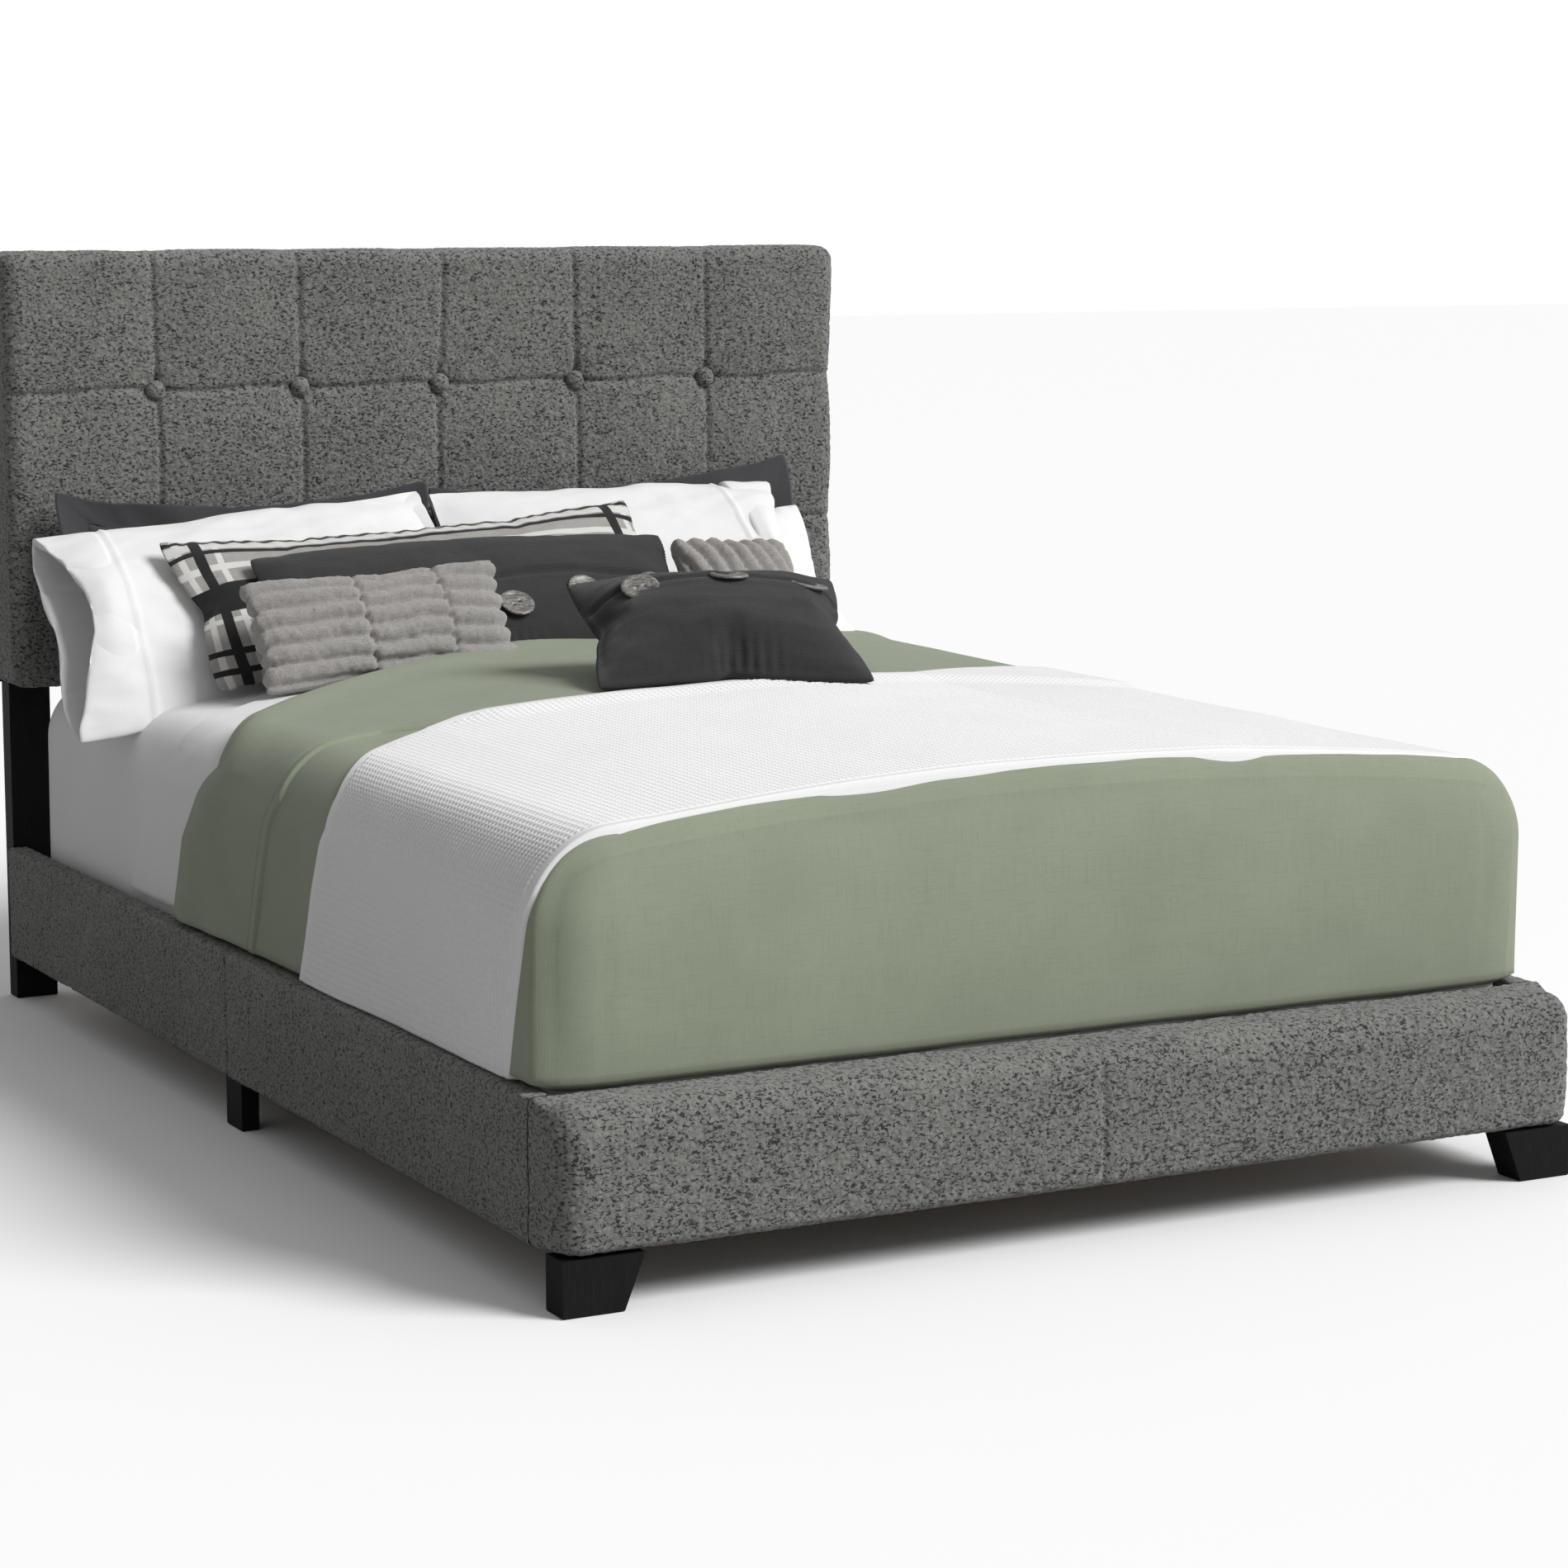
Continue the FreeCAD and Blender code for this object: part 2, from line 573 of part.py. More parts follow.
def centre_leg(place):
    """One leg under the beam, bored from below for its leveller."""
    half = CENTRE_LEG_SIDE / 2
    shape = box(-half, half, place - half, place + half, CENTRE_LEG_FLOOR_GAP, BEAM_BOTTOM)
    depth = LEVELLER_FOOT + LEVELLER_REACH + LEVELLER_BORE_SPARE - CENTRE_LEG_FLOOR_GAP
    bore = rod(LEVELLER_STEM + HOLE_GAP, depth, V(0, place, CENTRE_LEG_FLOOR_GAP), V(0, 0, 1))
    return cut(shape, [bore, beam_bolt(place, HOLE_GAP)])


def leveller(place):
    """A screw-in foot: a disc on the floor and its stem in the leg."""
    disc = rod(LEVELLER_RADIUS, LEVELLER_FOOT, V(0, place, 0), V(0, 0, 1))
    rim = edges_where(disc, lambda p: near(p.z, LEVELLER_FOOT))
    stem = rod(LEVELLER_STEM, LEVELLER_REACH, V(0, place, LEVELLER_FOOT), V(0, 0, 1))
    return fuse([disc.makeFillet(LEG_CHAMFER, rim), stem])


# ---------------------------------------------------------------------- bedding
def crowned(grow, floor, foot=None):
    """The mattress's outline grown outwards by a distance, down to a floor."""
    half = HALF_MATTRESS + grow
    shoulder = MATTRESS_TOP + grow
    crown = MATTRESS_TOP + MATTRESS_CROWN + grow
    start = MATTRESS_FOOT - grow * FOOT_DRAPE_SHARE if foot is None else foot
    arch = Part.Arc(V(-half, start, shoulder), V(0, start, crown), V(half, start, shoulder))
    lines = Part.makePolygon([V(half, start, shoulder), V(half, start, floor),
                              V(-half, start, floor), V(-half, start, shoulder)])
    outline = Part.Wire([arch.toShape()] + lines.Edges)
    block = Part.Face(outline).extrude(V(0, MATTRESS_HEAD - start, 0))
    shoulders = edges_where(block, lambda p: near(abs(p.x), half) and near(p.z, shoulder))
    return block.makeFillet(MATTRESS_ROUND + grow, shoulders)


def foot_side(head, skew):
    """Everything on the foot side of an edge that crosses the bed at a skew."""
    reach = 2 * HALF_WIDTH
    rise = reach * math.tan(math.radians(skew))
    corners = [V(-reach, head - rise, 0), V(reach, head + rise, 0),
               V(reach, 2 * FRONT, 0), V(-reach, 2 * FRONT, 0)]
    face = Part.Face(Part.makePolygon(corners + corners[:1]))
    return face.extrude(V(0, 0, 2 * HEADBOARD_HEIGHT))


def mattress():
    """The mattress: straight sides, rounded shoulders and a crowned top."""
    block = crowned(0, SLAT_TOP)
    corners = box(-HALF_MATTRESS, HALF_MATTRESS, MATTRESS_FOOT, MATTRESS_HEAD,
                  SLAT_TOP, MATTRESS_TOP + MATTRESS_CROWN)
    upright = [edge for edge in corners.Edges if near(edge.Length, MATTRESS_DEPTH + MATTRESS_CROWN)]
    return block.common(corners.makeFillet(MATTRESS_CORNER, upright))


def top_sheet():
    """The flat sheet's band, over the mattress and down both its sides."""
    floor = RAIL_TOP + BEDDING_RAIL_GAP
    skin = crowned(SOFT_GAP + SHEET, floor).cut(crowned(SOFT_GAP, 0, FRONT))
    head = MATTRESS_HEAD - SHEET_SHORT
    band = box(-HALF_WIDTH, HALF_WIDTH, head - SHEET_BAND, head, 0, HEADBOARD_HEIGHT)
    return skin.common(band)


def comforter():
    """The comforter, one soft piece over the top, both sides and the foot."""
    floor = RAIL_TOP + BEDDING_RAIL_GAP
    inside = 2 * SOFT_GAP + SHEET
    shape = crowned(inside + COMFORTER, floor).cut(crowned(inside, 0))
    return shape.common(foot_side(MATTRESS_HEAD - COMFORTER_SHORT, COMFORTER_SKEW))


def blanket():
    """The blanket over the comforter, from the foot's crest to its skewed head edge."""
    floor = RAIL_TOP + BEDDING_RAIL_GAP
    inside = 3 * SOFT_GAP + SHEET + COMFORTER
    skin = crowned(inside + BLANKET, floor, MATTRESS_FOOT).cut(crowned(inside, 0, FRONT))
    return skin.common(foot_side(MATTRESS_HEAD - BLANKET_SHORT, BLANKET_SKEW))


# --------------------------------------------------------------------- cushions
def leaning(shape, place, lean, turn, roll):
    """A shape drawn flat at the origin, rolled, leant back, turned and put in place."""
    turned = FreeCAD.Rotation(V(0, 0, 1), turn)
    leant = FreeCAD.Rotation(V(1, 0, 0), lean)
    rolled = FreeCAD.Rotation(V(0, 0, 1), roll)
    shape.Placement = FreeCAD.Placement(place, turned * leant * rolled)
    return shape


def pad(size):
    """A cushion laid flat: X along, Y up its face, Z through it."""
    width, height, thick = size
    block = box(-width / 2, width / 2, -height / 2, height / 2, -thick / 2, thick / 2)
    return block.makeFillet(CUSHION_ROUND * thick, block.Edges)


def pile_place(x, ahead, lift):
    """A place in the pile: across the bed, ahead of the headboard, above the mattress."""
    return V(x, PANEL_FRONT - ahead, MATTRESS_TOP + lift)


def toggles(size, count, start):
    """A row of big two-hole buttons along a cushion's face, drawn flat."""
    _, height, thick = size
    discs = []
    for index in range(count):
        x = start + TOGGLE_PITCH * index
        place = V(x, height / 2 - TOGGLE_EDGE, thick / 2)
        disc = rod(TOGGLE_RADIUS, TOGGLE_DEPTH, place, V(0, 0, 1))
        rim = edges_where(disc, lambda p: near(p.z, thick / 2 + TOGGLE_DEPTH))
        disc = disc.makeFillet(LEG_CHAMFER, rim)
        holes = [rod(TOGGLE_HOLE, TOGGLE_DEPTH, place + V(side * TOGGLE_HOLE_PITCH / 2, 0, 0),
                     V(0, 0, 1)) for _, side in SIDES]
        discs.append(cut(disc, holes))
    return Part.makeCompound(discs)


PILE = {
    "sham_left": (SHAM_SIZE, pile_place(-352, 154, 200), PILE_LEAN, 0, 0),
    "sham_right": (SHAM_SIZE, pile_place(312, 154, 203), PILE_LEAN, 0, 1),
    "pillow_left": (PILLOW_SIZE, pile_place(-405, 249, 185), PILE_LEAN, 0, 3),
    "pillow_right": (PILLOW_SIZE, pile_place(252, 249, 189), PILE_LEAN, 0, 0),
    "pillow_low_right": (LOW_PILLOW_SIZE, pile_place(305, 235, 165), PILE_LEAN, 0, 0),
    "plaid_cushion": (PLAID_SIZE, pile_place(-150, 305, 170), PILE_LEAN, 0, 2),
    "button_cushion_back": (LONG_SIZE, pile_place(-88, 361, 158), PILE_LEAN, 0, 1.5),
    "fur_cushion_left": (FUR_SIZE, pile_place(-290, 436, 134), PILE_LEAN, 0, 3),
    "fur_cushion_right": (NARROW_FUR_SIZE, pile_place(362, 328, 162), PILE_LEAN, 0, 0),
    "button_cushion_front": (FRONT_SIZE, pile_place(15, 955, 152), FRONT_LEAN, FRONT_TURN, 0),
}
TOGGLE_ROWS = {
    "toggle_buttons_back": ("button_cushion_back", 3, 60.0),
    "toggle_buttons_front": ("button_cushion_front", 3, -TOGGLE_PITCH),
}


# ------------------------------------------------------------------- all nodes
def build():
    """Write every node of the bed."""
    for name, side in SIDES:
        write("head_post_" + name, post(side))
        write("foot_leg_" + name, foot_leg(side))
        write("mid_leg_" + name, mid_leg(side))
        write("side_rail_board_" + name, rail_board(side))
        write("side_rail_cover_" + name, rail_cover(side))
        write("slat_ledger_" + name, slat_ledger(side))
    write("headboard_rails", headboard_rails())
    write("headboard_panel", headboard_panel())
    write("headboard_foam", headboard_foam())
    write("headboard_cover", headboard_cover())
    write("headboard_buttons", headboard_buttons())
    write("headboard_back_cloth", headboard_back_cloth())
    write("head_stretcher", head_stretcher())
    write("footboard_front_board", footboard_front_board())
    write("footboard_back_board", footboard_back_board())
    write("footboard_blocks", footboard_blocks())
    write("footboard_foam", footboard_foam())
    write("footboard_cover", footboard_cover())
    write("rail_brackets", rail_brackets())
    write("bracket_bolts", Part.makeCompound([bolt(*spot) for spot in bracket_bolts()]))
    write("leg_studs", Part.makeCompound([stud(spot) for spot in leg_bolts()]
                                         + [beam_bolt(place) for place in beam_leg_places()]))
    write("ledger_screws", Part.makeCompound(
        [screw(*spot, LEDGER_SCREW_LENGTH) for spot in ledger_screws()]))
    write("slat_screws", Part.makeCompound(
        [screw(*spot, SLAT_SCREW_LENGTH) for spot in slat_screws()]))
    write("centre_beam", centre_beam())
    write("beam_hangers", beam_hangers())
    for name, place in zip(("foot", "head"), beam_leg_places()):
        write("centre_leg_" + name, centre_leg(place))
        write("leveller_" + name, leveller(place))
    for number, centre in enumerate(slat_centres(), 1):
        write("slat_" + str(number), slat(centre))
    write("mattress", mattress())
    write("top_sheet", top_sheet())
    write("comforter", comforter())
    write("blanket", blanket())
    for name, (size, place, lean, turn, roll) in PILE.items():
        write(name, leaning(pad(size), place, lean, turn, roll))
    for name, (cushion, count, start) in TOGGLE_ROWS.items():
        size, place, lean, turn, roll = PILE[cushion]
        write(name, leaning(toggles(size, count, start), place, lean, turn, roll))


build()
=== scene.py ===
"""Visual model of an upholstered bed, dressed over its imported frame.

The timber, steel and slats keep the frame's own meshes and get finishes. The
boucle covers, the mattress, the bedding and the cushions are made here, each
in the space that its plain solid holds.
"""

import json
import logging
import math
from dataclasses import dataclass
from enum import Enum
from typing import Callable, Optional, Sequence

import bmesh
import bpy
import numpy as np
from mathutils import Matrix, Vector
from mathutils.bvhtree import BVHTree


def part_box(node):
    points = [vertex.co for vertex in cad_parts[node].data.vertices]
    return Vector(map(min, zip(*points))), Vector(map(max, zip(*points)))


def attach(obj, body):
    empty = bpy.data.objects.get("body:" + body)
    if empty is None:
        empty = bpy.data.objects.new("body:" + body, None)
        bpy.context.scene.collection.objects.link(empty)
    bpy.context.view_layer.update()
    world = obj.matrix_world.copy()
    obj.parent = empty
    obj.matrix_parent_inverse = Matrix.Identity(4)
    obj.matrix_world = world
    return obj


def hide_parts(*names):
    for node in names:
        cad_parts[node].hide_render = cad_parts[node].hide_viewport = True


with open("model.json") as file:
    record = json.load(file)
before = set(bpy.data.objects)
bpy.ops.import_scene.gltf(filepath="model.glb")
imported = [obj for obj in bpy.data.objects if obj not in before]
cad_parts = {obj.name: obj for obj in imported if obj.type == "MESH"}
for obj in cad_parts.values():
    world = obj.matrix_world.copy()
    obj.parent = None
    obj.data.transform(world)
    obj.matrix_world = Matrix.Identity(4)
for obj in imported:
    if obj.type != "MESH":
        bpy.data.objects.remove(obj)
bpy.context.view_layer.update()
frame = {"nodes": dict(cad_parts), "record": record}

LOG = logging.getLogger("bed")
MM = 0.001
FRAME_BODY = "bed_frame"
BED_BODY = "made_mattress"
FRONT_BODY = "front_cushion"
Points = np.ndarray


# --------------------------------------------------------------- shader maths
class Socket:
    """A shader socket that adds nodes when it is used in an expression."""

    def __init__(self, graph: "Graph", socket: bpy.types.NodeSocket) -> None:
        """Keep the graph and the output socket that the value comes from."""
        self.graph = graph
        self.socket = socket

    def maths(self, operation: str, *others: "Socket | float", clamp: bool = False) -> "Socket":
        """Add one Math node.

        Args:
            operation: the node's operation.
            others: the values after this one.
            clamp: whether the result is held between 0 and 1.

        Returns:
            The node's result.
        """
        settings = {"operation": operation, "use_clamp": clamp}
        inputs = {index: value for index, value in enumerate((self, *others))}
        return self.graph.node("ShaderNodeMath", settings, inputs)

    def __add__(self, other: "Socket | float") -> "Socket":
        """Sum."""
        return self.maths("ADD", other)

    __radd__ = __add__

    def __mul__(self, other: "Socket | float") -> "Socket":
        """Product."""
        return self.maths("MULTIPLY", other)

    __rmul__ = __mul__

    def __sub__(self, other: "Socket | float") -> "Socket":
        """Difference."""
        return self.maths("SUBTRACT", other)

    def __rsub__(self, other: float) -> "Socket":
        """Difference from a number."""
        return self.graph.node("ShaderNodeMath", {"operation": "SUBTRACT"}, {0: other, 1: self})

    def __truediv__(self, other: "Socket | float") -> "Socket":
        """Quotient."""
        return self.maths("DIVIDE", other)

    def __pow__(self, other: "Socket | float") -> "Socket":
        """Power."""
        return self.maths("POWER", other)

    def __gt__(self, other: "Socket | float") -> "Socket":
        """1 where this value is the larger, else 0."""
        return self.maths("GREATER_THAN", other)

    def sine(self) -> "Socket":
        """Sine of the value."""
        return self.maths("SINE")

    def size(self) -> "Socket":
        """The value without its sign."""
        return self.maths("ABSOLUTE")

    def part(self) -> "Socket":
        """The value's fractional part."""
        return self.maths("FRACT")

    def most(self, other: "Socket | float") -> "Socket":
        """The larger of two values."""
        return self.maths("MAXIMUM", other)

    def least(self, other: "Socket | float") -> "Socket":
        """The smaller of two values."""
        return self.maths("MINIMUM", other)

    def span(self, low: float, high: float) -> "Socket":
        """0 at a low value, 1 at a high one, smooth between."""
        settings = {"interpolation_type": "SMOOTHSTEP"}
        return self.graph.node("ShaderNodeMapRange", settings,
                               {"Value": self, "From Min": low, "From Max": high})


class Graph:
    """One material's nodes, with a Principled shader at the end."""

    def __init__(self, name: str) -> None:
        """Start a material with an empty tree, a shader and an output.

        Args:
            name: the material's name.
        """
        self.material = bpy.data.materials.new(name)
        self.material.use_nodes = True
        self.tree = self.material.node_tree
        self.tree.nodes.clear()
        self.shader = self.tree.nodes.new("ShaderNodeBsdfPrincipled")
        output = self.tree.nodes.new("ShaderNodeOutputMaterial")
        self.tree.links.new(self.shader.outputs[0], output.inputs[0])

    def feed(self, target: bpy.types.NodeSocket, value: object) -> None:
        """Link a value to an input, or set the input if the value is constant."""
        if isinstance(value, Socket):
            self.tree.links.new(value.socket, target)
        else:
            target.default_value = value

    def node(self, kind: str, settings: Optional[dict] = None, inputs: Optional[dict] = None,
             out: "int | str" = 0) -> Socket:
        """Add any node.

        Args:
            kind: the node's type.
            settings: the node's properties, and a ramp's stops under "stops".
            inputs: values or links by the input's name or index.
            out: the output that is wanted.

        Returns:
            The chosen output.
        """
        made = self.tree.nodes.new(kind)
        for key, value in (settings or {}).items():
            if key == "stops":
                self.stops(made, value)
            else:
                setattr(made, key, value)
        for key, value in (inputs or {}).items():
            self.feed(made.inputs[key], value)
        return Socket(self, made.outputs[out])

    @staticmethod
    def stops(ramp: bpy.types.Node, stops: Sequence[tuple]) -> None:
        """Set a colour ramp's stops from (place, grey or colour) pairs."""
        elements = ramp.color_ramp.elements
        while len(elements) < len(stops):
            elements.new(0.5)
        for element, (place, colour) in zip(elements, stops):
            element.position = place
            element.color = colour if len(colour) == 4 else (*colour, 1.0)

    def place(self) -> Socket:
        """The point on the surface, in metres in the row frame."""
        return self.node("ShaderNodeTexCoord", out="Object")

    def cloth(self) -> Socket:
        """The point on the flat cloth, in metres, from the piece's own map."""
        return self.node("ShaderNodeUVMap", {"uv_map": "cloth"})

    def axis(self, vector: Socket, name: str) -> Socket:
        """One of a vector's X, Y and Z."""
        return self.node("ShaderNodeSeparateXYZ", None, {0: vector}, name)

    def stretch(self, vector: Socket, by: Sequence[float]) -> Socket:
        """A vector times another, axis by axis."""
        return self.node("ShaderNodeVectorMath", {"operation": "MULTIPLY"}, {0: vector, 1: tuple(by)})

    def clouds(self, vector: Socket, scale: float, detail: float = 2.0, rough: float = 0.5,
               warp: float = 0.0) -> Socket:
        """Fractal noise at a scale in repeats per metre."""
        return self.node("ShaderNodeTexNoise", None,
                         {"Vector": vector, "Scale": scale, "Detail": detail,
                          "Roughness": rough, "Distortion": warp})

    def cells(self, vector: Socket, scale: float, spread: float = 1.0) -> Socket:
        """Distance to the nearest of scattered points, in cells."""
        return self.node("ShaderNodeTexVoronoi", None,
                         {"Vector": vector, "Scale": scale, "Randomness": spread})

    def mix(self, share: "Socket | float", first: object, second: object,
            blend: str = "MIX") -> Socket:
        """Mix two colours by a share."""
        made = self.tree.nodes.new("ShaderNodeMix")
        made.data_type = "RGBA"
        made.blend_type = blend
        self.feed(made.inputs[0], share)
        for target, value in ((made.inputs[6], first), (made.inputs[7], second)):
            self.feed(target, value if isinstance(value, Socket) else (*value, 1.0))
        return Socket(self, made.outputs[2])

    def relief(self, height: Socket, depth: float, strength: float = 1.0) -> None:
        """Feed the shader's normal from a height that is worth a depth in metres."""
        bump = self.node("ShaderNodeBump", None, {"Height": height, "Strength": strength,
                                                  "Distance": depth})
        self.feed(self.shader.inputs["Normal"], bump)

    def finish(self, colour: object, rough: "Socket | float", **constants: float) -> bpy.types.Material:
        """Set the shader's colour, roughness and constant sockets.

        Args:
            colour: a colour or a link for the base colour.
            rough: a number or a link for the roughness.
            constants: other sockets by name, with underscores for spaces.

        Returns:
            The finished material.
        """
        self.feed(self.shader.inputs["Base Color"],
                  colour if isinstance(colour, Socket) else (*colour, 1.0))
        self.feed(self.shader.inputs["Roughness"], rough)
        for name, value in constants.items():
            self.shader.inputs[name.replace("_", " ")].default_value = value
        return self.material


def grey(level: float) -> tuple:
    """A neutral colour of one level."""
    return (level, level, level)


@dataclass(frozen=True)
class Boucle:
    """Looped grey boucle with small dark flecks and painted shade between the loops."""

    name: str = "boucle_grey"
    base: tuple = (0.166, 0.165, 0.154)
    pale: tuple = (0.218, 0.216, 0.203)
    dark: tuple = (0.010, 0.010, 0.010)
    loops: float = 150.0
    flecks: float = 235.0

    def make(self) -> bpy.types.Material:
        """Build the material."""
        g = Graph(self.name)
        p = g.place()
        warp = g.clouds(g.stretch(p, (0.75, 0.75, 1.3)), self.flecks, 2.5, 0.62, 0.6)
        patch = g.clouds(p, 9.0, 2.0)
        fleck = (warp + (patch - 0.5) * 0.06).span(0.545, 0.580)
        # painted shade: the gaps between the loops take the darker base tone and the loop tops the pale
        # one
        loop = 1 - g.cells(p, self.loops, 1.0).least(1.0)
        tone = g.mix(loop.span(0.25, 0.95), self.base, self.pale)
        tone = g.mix(patch.span(0.3, 0.75) * 0.18, tone, grey(0.1))
        colour = g.mix(fleck * 0.93, tone, self.dark)
        fine = g.clouds(p, 900.0, 2.0, 0.7)
        g.relief(loop * 0.8 + fine * 0.35 - fleck * 0.7, 0.0022, 0.9)
        return g.finish(colour, 0.95, Sheen_Weight=0.25, Sheen_Roughness=0.6, Specular_IOR_Level=0.15)


@dataclass(frozen=True)
class StainedWood:
    """Black stained timber with a faint open grain."""

    name: str = "black_wood"
    tone: tuple = (0.005, 0.005, 0.005)
    worn: tuple = (0.012, 0.012, 0.012)
    along: tuple = (90.0, 90.0, 7.0)

    def make(self) -> bpy.types.Material:
        """Build the material."""
        g = Graph(self.name)
        grain = g.clouds(g.stretch(g.place(), self.along), 4.0, 5.0, 0.6, 0.8)
        pores = g.clouds(g.stretch(g.place(), (700.0, 700.0, 40.0)), 1.0, 2.0, 0.6)
        colour = g.mix(grain.span(0.45, 0.75) * 0.7, self.tone, self.worn)
        g.relief(grain * 0.4 - pores.span(0.55, 0.7) * 0.5, 0.0004, 0.5)
        return g.finish(colour, grain * 0.15 + 0.45, Specular_IOR_Level=0.2)


@dataclass(frozen=True)
class BareTimber:
    """Planed softwood or ply, grain along one axis."""

    name: str
    along: tuple
    early: tuple = (0.66, 0.47, 0.28)
    late: tuple = (0.42, 0.25, 0.12)

    def make(self) -> bpy.types.Material:
        """Build the material."""
        g = Graph(self.name)
        p = g.stretch(g.place(), self.along)
        rings = g.clouds(p, 1.0, 4.0, 0.55, 1.2)
        lines = ((rings * 26.0).sine() * 0.5 + 0.5) ** 2.0
        fibre = g.clouds(g.stretch(p, (9.0, 9.0, 9.0)), 1.0, 2.0, 0.6)
        colour = g.mix(lines * 0.5 + fibre * 0.2, self.early, self.late)
        g.relief(fibre * 0.5 + lines * 0.4, 0.0003, 0.5)
        return g.finish(colour, fibre * 0.2 + 0.55)


@dataclass(frozen=True)
class Zinc:
    """Bright zinc plate with a brushed and slightly mottled face."""

    name: str = "zinc_steel"

    def make(self) -> bpy.types.Material:
        """Build the material."""
        g = Graph(self.name)
        brush = g.clouds(g.stretch(g.place(), (60.0, 900.0, 900.0)), 1.0, 3.0, 0.6)
        mottle = g.clouds(g.place(), 60.0, 3.0)
        colour = g.mix(mottle.span(0.35, 0.7), (0.62, 0.63, 0.64), (0.48, 0.48, 0.47))
        g.relief(brush, 0.0001, 0.4)
        return g.finish(colour, brush * 0.2 + 0.26, Metallic=1.0)


@dataclass(frozen=True)
class Moulded:
    """Fine-textured moulded plastic."""

    name: str = "black_plastic"
    tone: tuple = (0.018, 0.018, 0.018)

    def make(self) -> bpy.types.Material:
        """Build the material."""
        g = Graph(self.name)
        spark = g.clouds(g.place(), 2200.0, 2.0)
        colour = g.mix(spark.span(0.4, 0.7) * 0.4, self.tone, grey(0.035))
        g.relief(spark, 0.0001, 0.5)
        return g.finish(colour, spark * 0.15 + 0.42)


@dataclass(frozen=True)
class Woven:
    """Plain woven cloth with warp and weft threads, slubs and faint mottling.

    Args:
        tone: the cloth's colour.
        shade: the darker colour along slubs and in the mottling, also painted as shade between the
            threads.
        threads: threads per metre each way.
        slub: how strongly thick threads show.
        mottle: how strongly the colour drifts.
        sheen: strength of the soft sheen.
        rough: surface roughness.
        relief: how deep the weave is, in metres.
        rib: how far the threads of one way stand over the other, from -1 to 1.
    """

    name: str
    tone: tuple
    shade: tuple
    threads: float = 1500.0
    slub: float = 0.4
    mottle: float = 0.15
    sheen: float = 0.15
    rough: float = 0.85
    relief: float = 0.0006
    rib: float = 0.0

    def weave(self, g: Graph) -> tuple[Socket, Socket]:
        """The thread height and the slub mask.

        Args:
            g: the material's graph.

        Returns:
            Height from 0 to 1, and a mask of thick threads.
        """
        p = g.cloth()
        pitch = self.threads * math.pi
        across = ((g.axis(p, "X") * pitch).sine()).size()
        along = ((g.axis(p, "Y") * pitch).sine()).size()
        warp = g.clouds(g.stretch(p, (700.0, 22.0, 1.0)), 1.0, 2.0, 0.6)
        weft = g.clouds(g.stretch(p, (22.0, 700.0, 1.0)), 1.0, 2.0, 0.6)
        height = across * (0.5 + self.rib * 0.5) + along * (0.5 - self.rib * 0.5)
        return height, warp.span(0.5, 0.72).most(weft.span(0.5, 0.72))

    def make(self) -> bpy.types.Material:
        """Build the material."""
        g = Graph(self.name)
        height, slub = self.weave(g)
        drift = g.clouds(g.cloth(), 7.0, 3.0, 0.55)
        colour = g.mix(slub * self.slub, self.tone, self.shade)
        # painted shade: darker between the threads, where the weave's height is low
        colour = g.mix((1 - height) * 0.22, colour, self.shade)
        colour = g.mix(drift.span(0.3, 0.75) * self.mottle, colour, self.shade)
        g.relief(height * 0.6 + slub * 0.5 * self.slub, self.relief, 0.6)
        return g.finish(colour, self.rough, Sheen_Weight=self.sheen, Sheen_Roughness=0.5,
                        Specular_IOR_Level=0.2)


@dataclass(frozen=True)
class Plaid(Woven):
    """Grey linen with black bands and white stripes in a wide plaid.

    Each band is its middle and its width, in metres on the flat cloth.

    Args:
        black: colour of the dark bands.
        white: colour of the light stripes.
        edge: half the width over which a band fades out.
        white_up: light stripes that run up the cushion.
        white_over: light stripes that run across it.
        black_up: dark bands that run up it.
        black_over: dark bands that run across it.
    """

    black: tuple = (0.012, 0.012, 0.013)
    white: tuple = (0.72, 0.71, 0.68)
    edge: float = 0.0006
    white_up: tuple = ((-0.377, 0.013), (-0.318, 0.010), (0.377, 0.013))
    white_over: tuple = ((0.119, 0.018), (0.070, 0.012), (-0.030, 0.008))
    black_up: tuple = ((-0.347, 0.018), (0.347, 0.018))
    black_over: tuple = ((0.135, 0.009), (0.102, 0.009), (0.010, 0.052), (-0.083, 0.011),
                         (-0.116, 0.011))

    def band(self, along: Socket, places: Sequence[tuple]) -> Socket:
        """A mask that is 1 inside any of some bands.

        Args:
            along: the coordinate that the bands cross.
            places: each band's middle and width, in metres.

        Returns:
            The mask.
        """
        mask: "Socket | None" = None
        for middle, width in places:
            inside = 1 - (along - middle).size().span(width / 2 - self.edge, width / 2 + self.edge)
            mask = inside if mask is None else mask.most(inside)
        return mask

    def make(self) -> bpy.types.Material:
        """Build the material."""
        g = Graph(self.name)
        height, slub = self.weave(g)
        p = g.cloth()
        x, y = g.axis(p, "X"), g.axis(p, "Y")
        light = self.band(x, self.white_up).most(self.band(y, self.white_over))
        dark = self.band(x, self.black_up).most(self.band(y, self.black_over))
        colour = g.mix(slub * self.slub, self.tone, self.shade)
        colour = g.mix(light, colour, self.white)
        colour = g.mix(dark, colour, self.black)
        # painted shade: near black between the threads, where the weave's height is low
        colour = g.mix((1 - height) * 0.25, colour, grey(0.03))
        g.relief(height * 0.6 + slub * 0.3, self.relief, 0.7)
        return g.finish(colour, self.rough, Sheen_Weight=self.sheen, Specular_IOR_Level=0.2)


